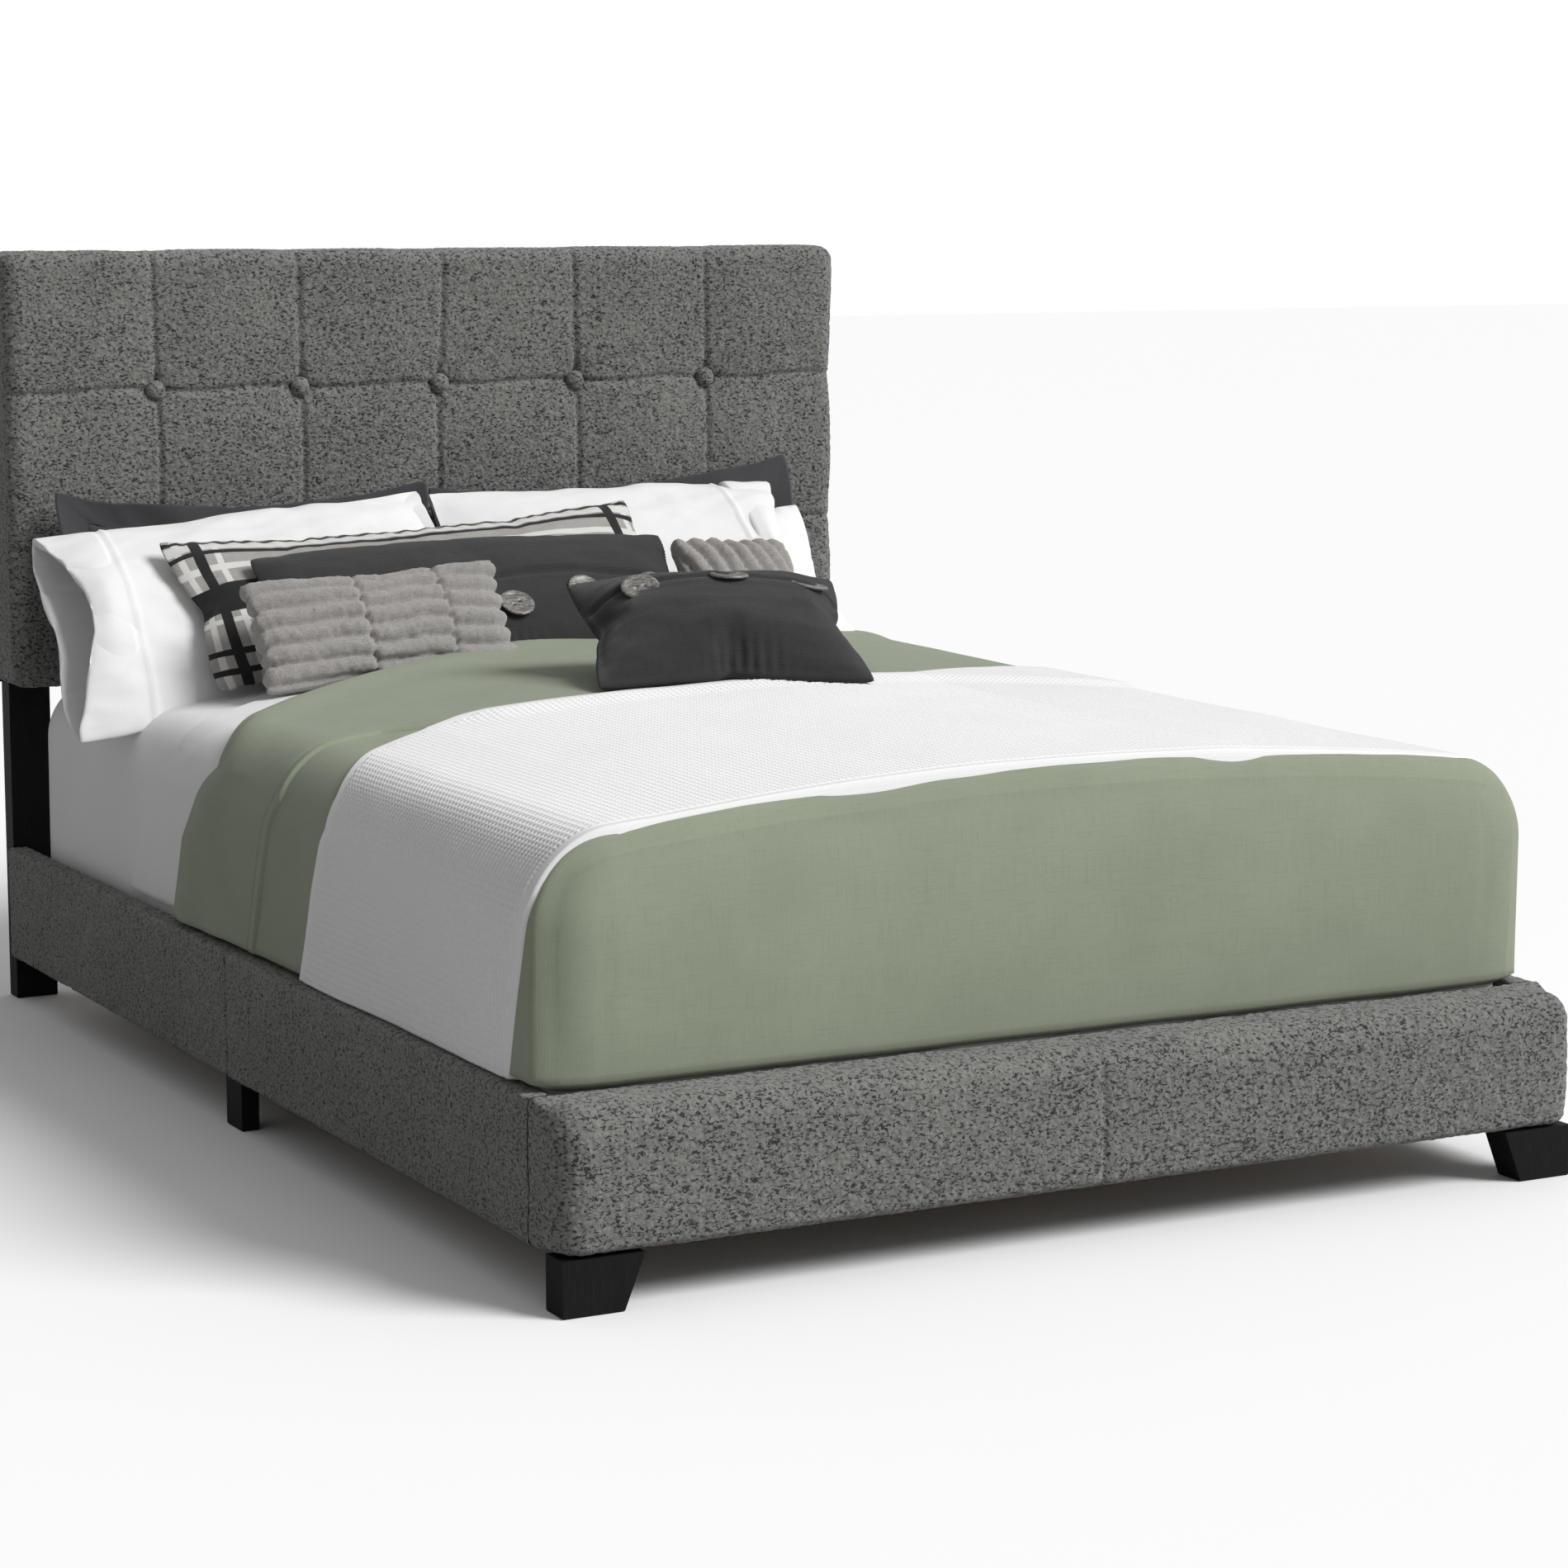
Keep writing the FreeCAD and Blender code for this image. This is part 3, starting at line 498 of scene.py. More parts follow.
@dataclass(frozen=True)
class Fur:
    """Short clipped faux fur in pale warm grey."""

    name: str = "grey_fur"
    tip: tuple = (0.50, 0.475, 0.455)
    pile_shade: tuple = (0.27, 0.25, 0.238)

    def make(self) -> bpy.types.Material:
        """Build the material."""
        g = Graph(self.name)
        p = g.place()
        tuft = g.clouds(g.stretch(p, (1.0, 1.0, 1.8)), 190.0, 4.0, 0.68, 1.4)
        hair = g.clouds(g.stretch(p, (2.2, 1.0, 1.0)), 700.0, 3.0, 0.7, 0.8)
        # painted shade: the darker colour where the tufts and hairs are low, deep in the pile
        depth = (tuft * 0.6 + hair * 0.4).span(0.32, 0.62)
        g.relief(tuft * 0.7 + hair * 0.5, 0.004, 0.9)
        return g.finish(g.mix(depth, self.pile_shade, self.tip), 0.92, Sheen_Weight=0.5,
                        Sheen_Roughness=0.45, Specular_IOR_Level=0.1)


@dataclass(frozen=True)
class Coconut:
    """Polished grey coconut shell with darker streaks."""

    name: str = "coconut"

    def make(self) -> bpy.types.Material:
        """Build the material."""
        g = Graph(self.name)
        p = g.place()
        streak = g.clouds(g.stretch(p, (50.0, 260.0, 260.0)), 1.0, 4.0, 0.65, 1.8)
        fleck = g.clouds(p, 420.0, 3.0, 0.6)
        colour = g.mix(streak.span(0.35, 0.68), (0.055, 0.05, 0.046), (0.30, 0.285, 0.265))
        colour = g.mix(fleck.span(0.58, 0.7) * 0.7, colour, (0.5, 0.48, 0.45))
        g.relief(streak, 0.0005, 0.5)
        return g.finish(colour, streak * 0.25 + 0.3, Coat_Weight=0.2)


@dataclass(frozen=True)
class Felted:
    """Non-woven cloth of pressed fibres."""

    name: str = "dust_cloth"
    tone: tuple = (0.028, 0.028, 0.029)

    def make(self) -> bpy.types.Material:
        """Build the material."""
        g = Graph(self.name)
        fibre = g.clouds(g.place(), 500.0, 4.0, 0.7, 2.0)
        dimple = g.cells(g.place(), 380.0, 0.1)
        colour = g.mix(fibre.span(0.4, 0.7) * 0.6, self.tone, grey(0.06))
        g.relief(fibre * 0.6 + dimple * 0.5, 0.0004, 0.7)
        return g.finish(colour, 0.9, Specular_IOR_Level=0.2)


class Finishes:
    """Every finish of the bed, made once and shared."""

    def __init__(self) -> None:
        """Build each material under its slot's name."""
        cotton = dict(tone=(0.80, 0.80, 0.795), shade=(0.62, 0.63, 0.64), threads=2200.0,
                      slub=0.10, mottle=0.12, relief=0.0003)
        made = {
            "boucle": Boucle(),
            "black_wood": StainedWood(),
            "pine": BareTimber("pine", (5.0, 30.0, 30.0)),
            "plywood": BareTimber("plywood", (8.0, 30.0, 30.0), (0.55, 0.39, 0.23), (0.36, 0.22, 0.11)),
            "foam": Felted("foam", (0.72, 0.66, 0.45)),
            "dust_cloth": Felted(),
            "zinc_steel": Zinc(),
            "black_plastic": Moulded(),
            "white_cotton": Woven("white_cotton", **cotton),
            "sage_linen": Woven("sage_linen", (0.305, 0.340, 0.255), (0.190, 0.215, 0.150),
                                threads=1250.0, slub=0.28, mottle=0.20, relief=0.0007),
            "white_waffle": Woven("white_waffle", (0.83, 0.83, 0.825), (0.66, 0.67, 0.68),
                                  threads=900.0, slub=0.06, mottle=0.05, relief=0.0005),
            "charcoal_sateen": Woven("charcoal_sateen", (0.036, 0.036, 0.040), (0.018, 0.018, 0.02),
                                     threads=2400.0, slub=0.3, mottle=0.2, sheen=0.3, rough=0.55,
                                     relief=0.0003),
            "plaid_linen": Plaid("plaid_linen", (0.40, 0.38, 0.36), (0.20, 0.185, 0.175),
                                 threads=950.0, slub=0.5, relief=0.0008),
            "black_linen": Woven("black_linen", (0.036, 0.036, 0.037), (0.016, 0.016, 0.016),
                                 threads=520.0, slub=0.5, mottle=0.2, relief=0.0012, rib=-0.8),
            "grey_fur": Fur(),
            "coconut": Coconut(),
        }
        self.table = {slot: finish.make() for slot, finish in made.items()}

    def __getitem__(self, slot: str) -> bpy.types.Material:
        """The material of a slot."""
        return self.table[slot]


# ------------------------------------------------------------- numeric fields
def hashed(cell: Points, salt: float) -> Points:
    """A repeatable number from 0 to 1 for each row of whole numbers."""
    mixed = cell @ np.array((127.1, 311.7, 74.7)) + salt * 17.13
    return np.modf(np.abs(np.sin(mixed)) * 43758.5453)[0]


def clouds(points: Points, pitch: float, octaves: int = 1, salt: float = 0.0) -> Points:
    """Smooth value noise.

    Args:
        points: an array of points, three to a row.
        pitch: the largest feature's size in metres.
        octaves: how many halvings of the pitch are added.
        salt: another pattern for another number.

    Returns:
        A value from about -1 to 1 for each point.
    """
    total, weight = np.zeros(len(points)), 1.0
    for octave in range(octaves):
        scaled = points / pitch * 2 ** octave
        cell = np.floor(scaled)
        local = scaled - cell
        local = local * local * (3 - 2 * local)
        value = np.zeros(len(points))
        for corner in np.ndindex(2, 2, 2):
            share = np.prod(np.where(np.array(corner) == 1, local, 1 - local), axis=1)
            value += share * hashed(cell + corner, salt + octave)
        total += (value * 2 - 1) * weight
        weight *= 0.5
    return total


def pebbles(points: Points, pitch: float, salt: float = 0.0) -> Points:
    """Rounded bumps about a pitch apart, from 0 between them to 1 at their tops."""
    scaled = points / pitch
    cell = np.floor(scaled)
    best = np.full(len(points), 9.0)
    for step in np.ndindex(3, 3, 3):
        near = cell + np.array(step) - 1
        centre = near + np.stack([hashed(near, salt + k) for k in (1.0, 2.0, 3.0)], axis=1)
        best = np.minimum(best, ((centre - scaled) ** 2).sum(axis=1))
    return 1 - np.minimum(best, 1.0)


def smooth(value: Points, low: float, high: float) -> Points:
    """0 below a low value, 1 above a high one, smooth between."""
    share = np.clip((value - low) / (high - low), 0, 1)
    return share * share * (3 - 2 * share)


def bell(value: Points, width: float) -> Points:
    """1 at zero, falling away over a width."""
    return np.exp(-(value / width) ** 2)


# ---------------------------------------------------------------------- meshes
def piece_from(name: str, points: Points, faces: Points,
               cloth: Optional[Points] = None) -> bpy.types.Object:
    """Make an object from arrays.

    Args:
        name: the piece's name.
        points: vertices, three numbers to a row.
        faces: vertex numbers, four to a row.
        cloth: the flat cloth's coordinates for each vertex, in metres.

    Returns:
        The new object.
    """
    mesh = bpy.data.meshes.new(name)
    mesh.from_pydata(points.tolist(), [], faces.tolist())
    if cloth is not None:
        layer = mesh.uv_layers.new(name="cloth")
        corners = np.empty(len(mesh.loops), dtype=np.int64)
        mesh.loops.foreach_get("vertex_index", corners)
        layer.data.foreach_set("uv", np.ascontiguousarray(cloth[corners], dtype=np.float32).ravel())
    mesh.shade_smooth()
    piece = bpy.data.objects.new(name, mesh)
    bpy.context.scene.collection.objects.link(piece)
    return piece


def points_of(piece: bpy.types.Object) -> Points:
    """The piece's vertices as an array."""
    found = np.empty(len(piece.data.vertices) * 3)
    piece.data.vertices.foreach_get("co", found)
    return found.reshape(-1, 3)


def normals_of(piece: bpy.types.Object) -> Points:
    """The piece's vertex normals as an array."""
    found = np.empty(len(piece.data.vertices) * 3)
    piece.data.vertices.foreach_get("normal", found)
    return found.reshape(-1, 3)


def cloth_of(piece: bpy.types.Object) -> Points:
    """The flat cloth's coordinates at each vertex."""
    mesh = piece.data
    corners = np.empty(len(mesh.loops), dtype=np.int64)
    mesh.loops.foreach_get("vertex_index", corners)
    flat = np.empty(len(mesh.loops) * 2)
    mesh.uv_layers["cloth"].data.foreach_get("uv", flat)
    found = np.zeros((len(mesh.vertices), 2))
    found[corners] = flat.reshape(-1, 2)
    return found


def move_points(piece: bpy.types.Object, points: Points) -> None:
    """Give the piece's vertices new places."""
    piece.data.vertices.foreach_set("co", np.ascontiguousarray(points).ravel())
    piece.data.update()


def bake_modifiers(piece: bpy.types.Object) -> None:
    """Turn the piece's modifiers into its mesh."""
    graph = bpy.context.evaluated_depsgraph_get()
    mesh = bpy.data.meshes.new_from_object(piece.evaluated_get(graph))
    piece.modifiers.clear()
    old, piece.data = piece.data, mesh
    bpy.data.meshes.remove(old)
    piece.data.shade_smooth()


def subdivide(piece: bpy.types.Object, levels: int = 1) -> None:
    """Smooth and subdivide the piece."""
    step = piece.modifiers.new("smooth", "SUBSURF")
    step.levels = step.render_levels = levels
    bake_modifiers(piece)


def thicken(piece: bpy.types.Object, depth: float, inward: bool = True) -> None:
    """Give a sheet its thickness."""
    shell = piece.modifiers.new("depth", "SOLIDIFY")
    shell.thickness = depth
    shell.offset = -1.0 if inward else 1.0
    bake_modifiers(piece)


def joined(name: str, pieces: Sequence[bpy.types.Object]) -> bpy.types.Object:
    """Join pieces into one object, in the row frame."""
    mesh = bmesh.new()
    for piece in pieces:
        piece.data.transform(piece.matrix_world)
        mesh.from_mesh(piece.data)
        bpy.data.objects.remove(piece)
    data = bpy.data.meshes.new(name)
    mesh.to_mesh(data)
    mesh.free()
    data.shade_smooth()
    made = bpy.data.objects.new(name, data)
    bpy.context.scene.collection.objects.link(made)
    return made


def grid_faces(columns: int, rows: int) -> Points:
    """Quads of a grid whose vertices run along its columns, row by row."""
    i, j = np.meshgrid(np.arange(columns - 1), np.arange(rows - 1))
    corner = (j * columns + i).ravel()
    return np.stack([corner, corner + 1, corner + columns + 1, corner + columns], axis=1)


def ring_faces(turns: int, rings: int) -> Points:
    """Quads of closed rings of vertices, one ring after another."""
    i, j = np.meshgrid(np.arange(turns), np.arange(rings - 1))
    corner, after = (j * turns + i).ravel(), (j * turns + (i + 1) % turns).ravel()
    return np.stack([corner, after, after + turns, corner + turns], axis=1)


class Side(Enum):
    """The six sides of a block: its axis and its end."""

    LEFT = (0, 0)
    RIGHT = (0, 1)
    FOOT = (1, 0)
    HEAD = (1, 1)
    UNDER = (2, 0)
    TOP = (2, 1)


@dataclass
class SoftBlock:
    """A block with rounded sides, made as one fine grid.

    Args:
        low: lowest corner.
        high: highest corner.
        rounds: radius at each side's edges, as (low, high) for each axis.
        step: size of the grid's squares.
        sides: the sides that are made.
    """

    low: tuple
    high: tuple
    rounds: tuple
    step: float
    sides: Sequence[Side] = tuple(Side)

    def ticks(self, axis: int) -> Points:
        """The grid's places along one axis."""
        length = self.high[axis] - self.low[axis]
        return np.linspace(self.low[axis], self.high[axis], max(2, math.ceil(length / self.step) + 1))

    def one_side(self, side: Side) -> tuple[Points, Points]:
        """The flat grid of one side and its quads, turned to face outwards."""
        axis, end = side.value
        first, second = [other for other in range(3) if other != axis]
        a, b = np.meshgrid(self.ticks(first), self.ticks(second))
        points = np.empty((a.size, 3))
        points[:, axis] = (self.low, self.high)[end][axis]
        points[:, first], points[:, second] = a.ravel(), b.ravel()
        faces = grid_faces(a.shape[1], a.shape[0])
        outward = (end == 1) != (axis == 1)
        return points, faces if outward else faces[:, ::-1]

    def flat(self) -> tuple[Points, Points]:
        """The block's box grid with shared edges: points and quads."""
        points, faces, count = [], [], 0
        for side in self.sides:
            some, quads = self.one_side(side)
            points.append(some)
            faces.append(quads + count)
            count += len(some)
        everything = np.concatenate(points)
        _, first, where = np.unique(np.round(everything, 6), axis=0, return_index=True,
                                    return_inverse=True)
        return everything[first], where.ravel()[np.concatenate(faces)]

    def rounded(self, flat: Points) -> tuple[Points, Points]:
        """Points of the box moved to the rounded block, and their normals."""
        reach, centre, radius = (np.zeros_like(flat) for _ in range(3))
        for axis in range(3):
            low_round, high_round = self.rounds[axis]
            low, high = self.low[axis] + low_round, self.high[axis] - high_round
            value = flat[:, axis]
            radius[:, axis] = np.where(value < low, low_round, high_round)
            centre[:, axis] = np.clip(value, low, high)
            reach[:, axis] = (value - centre[:, axis]) / np.maximum(radius[:, axis], 1e-9)
        most = np.abs(reach).max(axis=1, keepdims=True)
        length = np.linalg.norm(reach, axis=1, keepdims=True)
        unit = reach / np.maximum(length, 1e-9)
        return centre + unit * most * radius, unit


# -------------------------------------------------------------------- dressing
@dataclass
class Dresser:
    """Gives pieces their finish, slot, body and the nodes they stand for."""

    finishes: Finishes
    count: int = 0

    def dress(self, piece: bpy.types.Object, slot: str, body: str,
              replaces: Sequence[str] = ()) -> bpy.types.Object:
        """Finish one piece.

        Args:
            piece: the piece.
            slot: the record's material slot.
            body: the body that it rides on.
            replaces: the frame's nodes that it stands for.

        Returns:
            The same piece.
        """
        piece.data.materials.clear()
        piece.data.materials.append(self.finishes[slot])
        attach(piece, body)
        if replaces:
            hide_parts(*replaces)
        self.count += 1
        LOG.info("%s: %d faces, %s on %s", piece.name, len(piece.data.polygons), slot, body)
        return piece

    def dress_node(self, node: str, slot: str) -> None:
        """Give one of the frame's own nodes a better material."""
        mesh = frame["nodes"][node].data
        mesh.materials.clear()
        mesh.materials.append(self.finishes[slot])


def corner_low(node: str) -> Vector:
    """A node's lowest corner at rest."""
    return Vector(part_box(node)[0])


def corner_high(node: str) -> Vector:
    """A node's highest corner at rest."""
    return Vector(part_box(node)[1])


# ------------------------------------------------------------------ upholstery
@dataclass
class Upholstery:
    """Everything in boucle: headboard, buttons, footboard and side rails.

    Args:
        dresser: who finishes the pieces.
        step: size of the covers' grid squares.
        loop: distance between the cloth's loops.
        nap: how far the loops stand up.
        puff: how far the tufted fields stand in front of the seams.
        seam_depth: how deep the seams pull in.
        seam_width: half the width of a seam's groove.
        dimple_depth: how deep each button pulls in.
        columns: tufted fields across the headboard.
        button_radius: radius of the covered buttons.
        button_rise: how far a button's middle stands over its rim.
        button_sink: how far the rim lies behind the cover's face.
        panel_rounds: the headboard's rounds, (low, high) for each axis.
        foot_rounds: the footboard's, along its front.
        foot_rear_rounds: the footboard's, at its back corners.
        foot_puff: how far the middle of the footboard's front stands out.
        lip: how far a rail's cover is turned in behind the board.
        lip_step: how far the turned-in end stands off the board.
        rail_turn: radius of a rail's edges.
        cover_seam: half the width of the upright seams on footboard and rails.
    """

    dresser: Dresser
    step: float = 3.1 * MM
    loop: float = 9.5 * MM
    nap: float = 2.2 * MM
    puff: float = 5.0 * MM
    seam_depth: float = 5.5 * MM
    seam_width: float = 4.5 * MM
    dimple_depth: float = 11.0 * MM
    columns: int = 6
    button_radius: float = 15.0 * MM
    button_rise: float = 0.011
    button_sink: float = 0.0065
    panel_rounds: tuple = ((0.026, 0.026), (0.026, 0.0), (0.012, 0.024))
    foot_rounds: tuple = ((0.036, 0.036), (0.038, 0.004), (0.014, 0.036))
    foot_rear_rounds: tuple = ((0.005, 0.005), (0.038, 0.004), (0.014, 0.005))
    foot_puff: float = 0.0035
    lip: float = 0.025
    lip_step: float = 0.004
    rail_turn: float = 0.004
    cover_seam: float = 0.0035

    def fleece(self, points: Points, unit: Points, share: float = 1.0) -> Points:
        """Points moved out along their normals by the cloth's loops."""
        lift = pebbles(points, self.loop, 4.0) * self.nap
        lift += clouds(points, self.loop * 0.55, 1, 9.0) * self.nap * 0.30
        lift += clouds(points, 0.05, 2, 2.0) * self.nap * 0.35
        return points + unit * ((lift - self.nap * 0.25) * share)[:, None]

    def seam_heights(self) -> list[float]:
        """Heights of the headboard's cross seams, at the button rows."""
        mesh = frame["nodes"]["headboard_buttons"].data
        levels = np.round([vertex.co.z for vertex in mesh.vertices], 4)
        low, high = levels.min(), levels.max()
        return [low + self.button_radius, high - self.button_radius]

    def tufting(self, points: Points, low: Vector, high: Vector) -> Points:
        """How far the headboard's face stands out at each point."""
        pitch = (high.x - low.x) / self.columns
        rows = self.seam_heights()
        x = (points[:, 0] - low.x) / pitch
        bow = 0.006 * np.sin((points[:, 2] - rows[0]) * 11.0)
        column = np.clip(np.round(x), 1, self.columns - 1)
        across = (x - column) * pitch + bow * np.cos(column * 2.1)
        dip = 0.003 * np.sin(x * math.pi * 2)
        along = np.min([np.abs(points[:, 2] - row + dip) for row in rows], axis=0)
        near_row = np.min([np.abs(points[:, 2] - row) for row in rows], axis=0)
        field_share = (1 - bell(across, 0.055)) * (1 - bell(along, 0.055))
        seam = np.maximum(bell(across, self.seam_width), bell(along, self.seam_width))
        button = np.hypot((x - column) * pitch, near_row)
        pull = bell(button, 0.020) * self.dimple_depth + bell(button, 0.055) * 0.003
        fan = bell(button, 0.06) * np.abs(np.sin(np.arctan2(near_row, across) * 4)) * 0.0012
        return field_share * self.puff - seam * self.seam_depth - pull + fan

    def headboard(self) -> None:
        """The tufted cover."""
        low, high = corner_low("headboard_cover"), corner_high("headboard_cover")
        block = SoftBlock(tuple(low), tuple(high), self.panel_rounds, self.step,
                          (Side.FOOT, Side.LEFT, Side.RIGHT, Side.TOP, Side.UNDER))
        flat, faces = block.flat()
        points, unit = block.rounded(flat)
        facing = smooth(-unit[:, 1], 0.0, 0.7)
        upward = smooth(unit[:, 2], 0.2, 0.8) * 0.15
        lift = self.tufting(points, low, high)
        points = points + unit * (lift * np.maximum(facing, upward))[:, None]
        sag = clouds(points, 0.16, 2, 5.0) * 0.0012
        points = self.fleece(points + unit * sag[:, None], unit)
        points[:, 1] = np.minimum(points[:, 1], high.y)
        cover = piece_from("headboard_boucle", points, faces)
        self.dresser.dress(cover, "boucle", FRAME_BODY, ("headboard_cover", "headboard_foam"))

    def buttons(self) -> None:
        """Covered buttons at the crossings of the seams."""
        low, high = corner_low("headboard_cover"), corner_high("headboard_cover")
        pitch = (high.x - low.x) / self.columns
        rings, turns, made = 14, 40, []
        for row, level in enumerate(self.seam_heights()):
            for column in range(1, self.columns):
                share = np.linspace(0.02, 1, rings)[:, None] * np.ones((1, turns))
                turn = np.linspace(0, 2 * math.pi, turns, endpoint=False)[None, :] * np.ones((rings, 1))
                radius = self.button_radius * np.sin(share * math.pi * 0.56) / math.sin(math.pi * 0.5)
                rise = self.button_rise * np.cos(share * math.pi * 0.56)
                local = np.stack([radius * np.cos(turn), -rise, radius * np.sin(turn)], axis=2)
                local = local.reshape(-1, 3)
                unit = local / np.linalg.norm(local, axis=1, keepdims=True)
                place = np.array((low.x + pitch * column, low.y + self.button_sink, level))
                points = self.fleece(local + place, unit, 0.75)
                faces = ring_faces(turns, rings)[:, ::-1]
                made.append(piece_from(f"button_{row}_{column}", points, faces))
        piece = joined("headboard_boucle_buttons", made)
        self.dresser.dress(piece, "boucle", FRAME_BODY, ("headboard_buttons",))

    def back_cloth(self) -> None:
        """The dust cloth stretched over the headboard's back, with a turned edge."""
        low, high = corner_low("headboard_back_cloth"), corner_high("headboard_back_cloth")
        block = SoftBlock(tuple(low), tuple(high), ((0.002, 0.002), (0.0, 0.0012), (0.002, 0.002)),
                          9 * MM, (Side.HEAD,))
        points, faces = block.flat()
        edge = np.min([points[:, 0] - low.x, high.x - points[:, 0],
                       points[:, 2] - low.z, high.z - points[:, 2]], axis=0)
        points[:, 1] -= clouds(points, 0.09, 2, 1.0) * 0.0004 + bell(edge - 0.018, 0.004) * 0.0008
        cloth = piece_from("headboard_dust_cloth", points, faces)
        thicken(cloth, 0.0006)
        self.dresser.dress(cloth, "dust_cloth", FRAME_BODY, ("headboard_back_cloth",))

    def footboard(self) -> None:
        """The footboard's cover, soft along its front and corners."""
        low, high = corner_low("footboard_cover"), corner_high("footboard_cover")
        block = SoftBlock(tuple(low), tuple(high), self.foot_rounds, self.step)
        flat, faces = block.flat()
        points, unit = block.rounded(flat)
        square = SoftBlock(tuple(low), tuple(high), self.foot_rear_rounds, self.step)
        share = smooth(points[:, 1], high.y - 0.050, high.y - 0.004)[:, None]
        corners, facing = square.rounded(flat)
        points, unit = points + (corners - points) * share, unit + (facing - unit) * share
        unit /= np.linalg.norm(unit, axis=1, keepdims=True)
        front = smooth(-unit[:, 1], 0.1, 0.9)
        middle = 1 - bell(points[:, 2] - low.z, 0.03) - bell(high.z - points[:, 2], 0.05)
        points = points + unit * (front * middle * self.foot_puff)[:, None]
        seam = bell(points[:, 0], self.cover_seam) * front * 0.0035
        points = points - unit * seam[:, None]
        points = self.fleece(points, unit)
        cover = piece_from("footboard_boucle", points, faces)
        self.dresser.dress(cover, "boucle", FRAME_BODY, ("footboard_cover", "footboard_foam"))

    def side_rail(self, name: str, sign: int) -> None:
        """One rail's cover, wrapped round the board and turned in at both edges.

        Args:
            name: left or right.
            sign: -1 on the left, 1 on the right.
        """
        node = "side_rail_cover_" + name
        low, high = corner_low(node), corner_high(node)
        outer, inner = (high.x, low.x) if sign > 0 else (-low.x, -high.x)
        lip, turn = self.lip, self.rail_turn
        path = [(inner + self.lip_step, low.z + lip), (inner, low.z + lip), (inner, low.z)]
        path += [(outer - turn, low.z), (outer, low.z + turn), (outer, high.z - turn),
                 (outer - turn, high.z), (inner + turn, high.z), (inner, high.z - turn)]
        path += [(inner, high.z - lip), (inner + self.lip_step, high.z - lip)]
        corners = np.array(path)
        lengths = np.r_[0, np.cumsum(np.linalg.norm(np.diff(corners, axis=0), axis=1))]
        ticks = np.arange(0, lengths[-1], self.step)
        section = np.stack([np.interp(ticks, lengths, corners[:, k]) for k in (0, 1)], axis=1)
        tangent = np.gradient(section, axis=0)
        tangent /= np.linalg.norm(tangent, axis=1, keepdims=True)
        rows = np.linspace(low.y, high.y, math.ceil((high.y - low.y) / (self.step * 1.15)))
        count = len(section)
        points = np.zeros((count * len(rows), 3))
        unit = np.zeros_like(points)
        points[:, 0] = np.tile(section[:, 0], len(rows)) * sign
        points[:, 2] = np.tile(section[:, 1], len(rows))
        points[:, 1] = np.repeat(rows, count)
        unit[:, 0] = np.tile(tangent[:, 1], len(rows)) * sign
        unit[:, 2] = np.tile(-tangent[:, 0], len(rows))
        middle = (low.y + high.y) / 2
        groove = bell(points[:, 1] - middle - 0.008, self.cover_seam) * 0.003
        points -= unit * groove[:, None]
        points = self.fleece(points, unit)
        points[:, 1] = np.clip(points[:, 1], low.y, high.y)
        faces = grid_faces(count, len(rows))
        cover = piece_from("side_rail_boucle_" + name, points, faces if sign < 0 else faces[:, ::-1])
        self.dresser.dress(cover, "boucle", FRAME_BODY, (node,))

    def build(self) -> None:
        """Make every upholstered piece."""
        self.headboard()
        self.buttons()
        self.back_cloth()
        self.footboard()
        self.side_rail("left", -1)
        self.side_rail("right", 1)


@dataclass
class Woodwork:
    """The frame's own timber and steel, which keep their meshes."""

    dresser: Dresser

    def build(self) -> None:
        """Give each of the frame's nodes its finish, by the record's slots."""
        soft = ("boucle", "white_cotton", "sage_linen", "white_waffle", "charcoal_sateen",
                "plaid_linen", "black_linen", "grey_fur", "dust_cloth", "coconut")
        for node, slot in SLOTS.items():
            if slot not in soft:
                self.dresser.dress_node(node, slot)


# --------------------------------------------------------------------- bedding
SHOULDER_HEIGHT = 0.49      # where the bedding turns from the top down the sides
MATTRESS_CROWN = 66 * MM    # mattress's middle above its side edges
OVER_SIDES = (Side.LEFT, Side.RIGHT, Side.TOP)
FOOT_SIDES = (*OVER_SIDES, Side.FOOT)


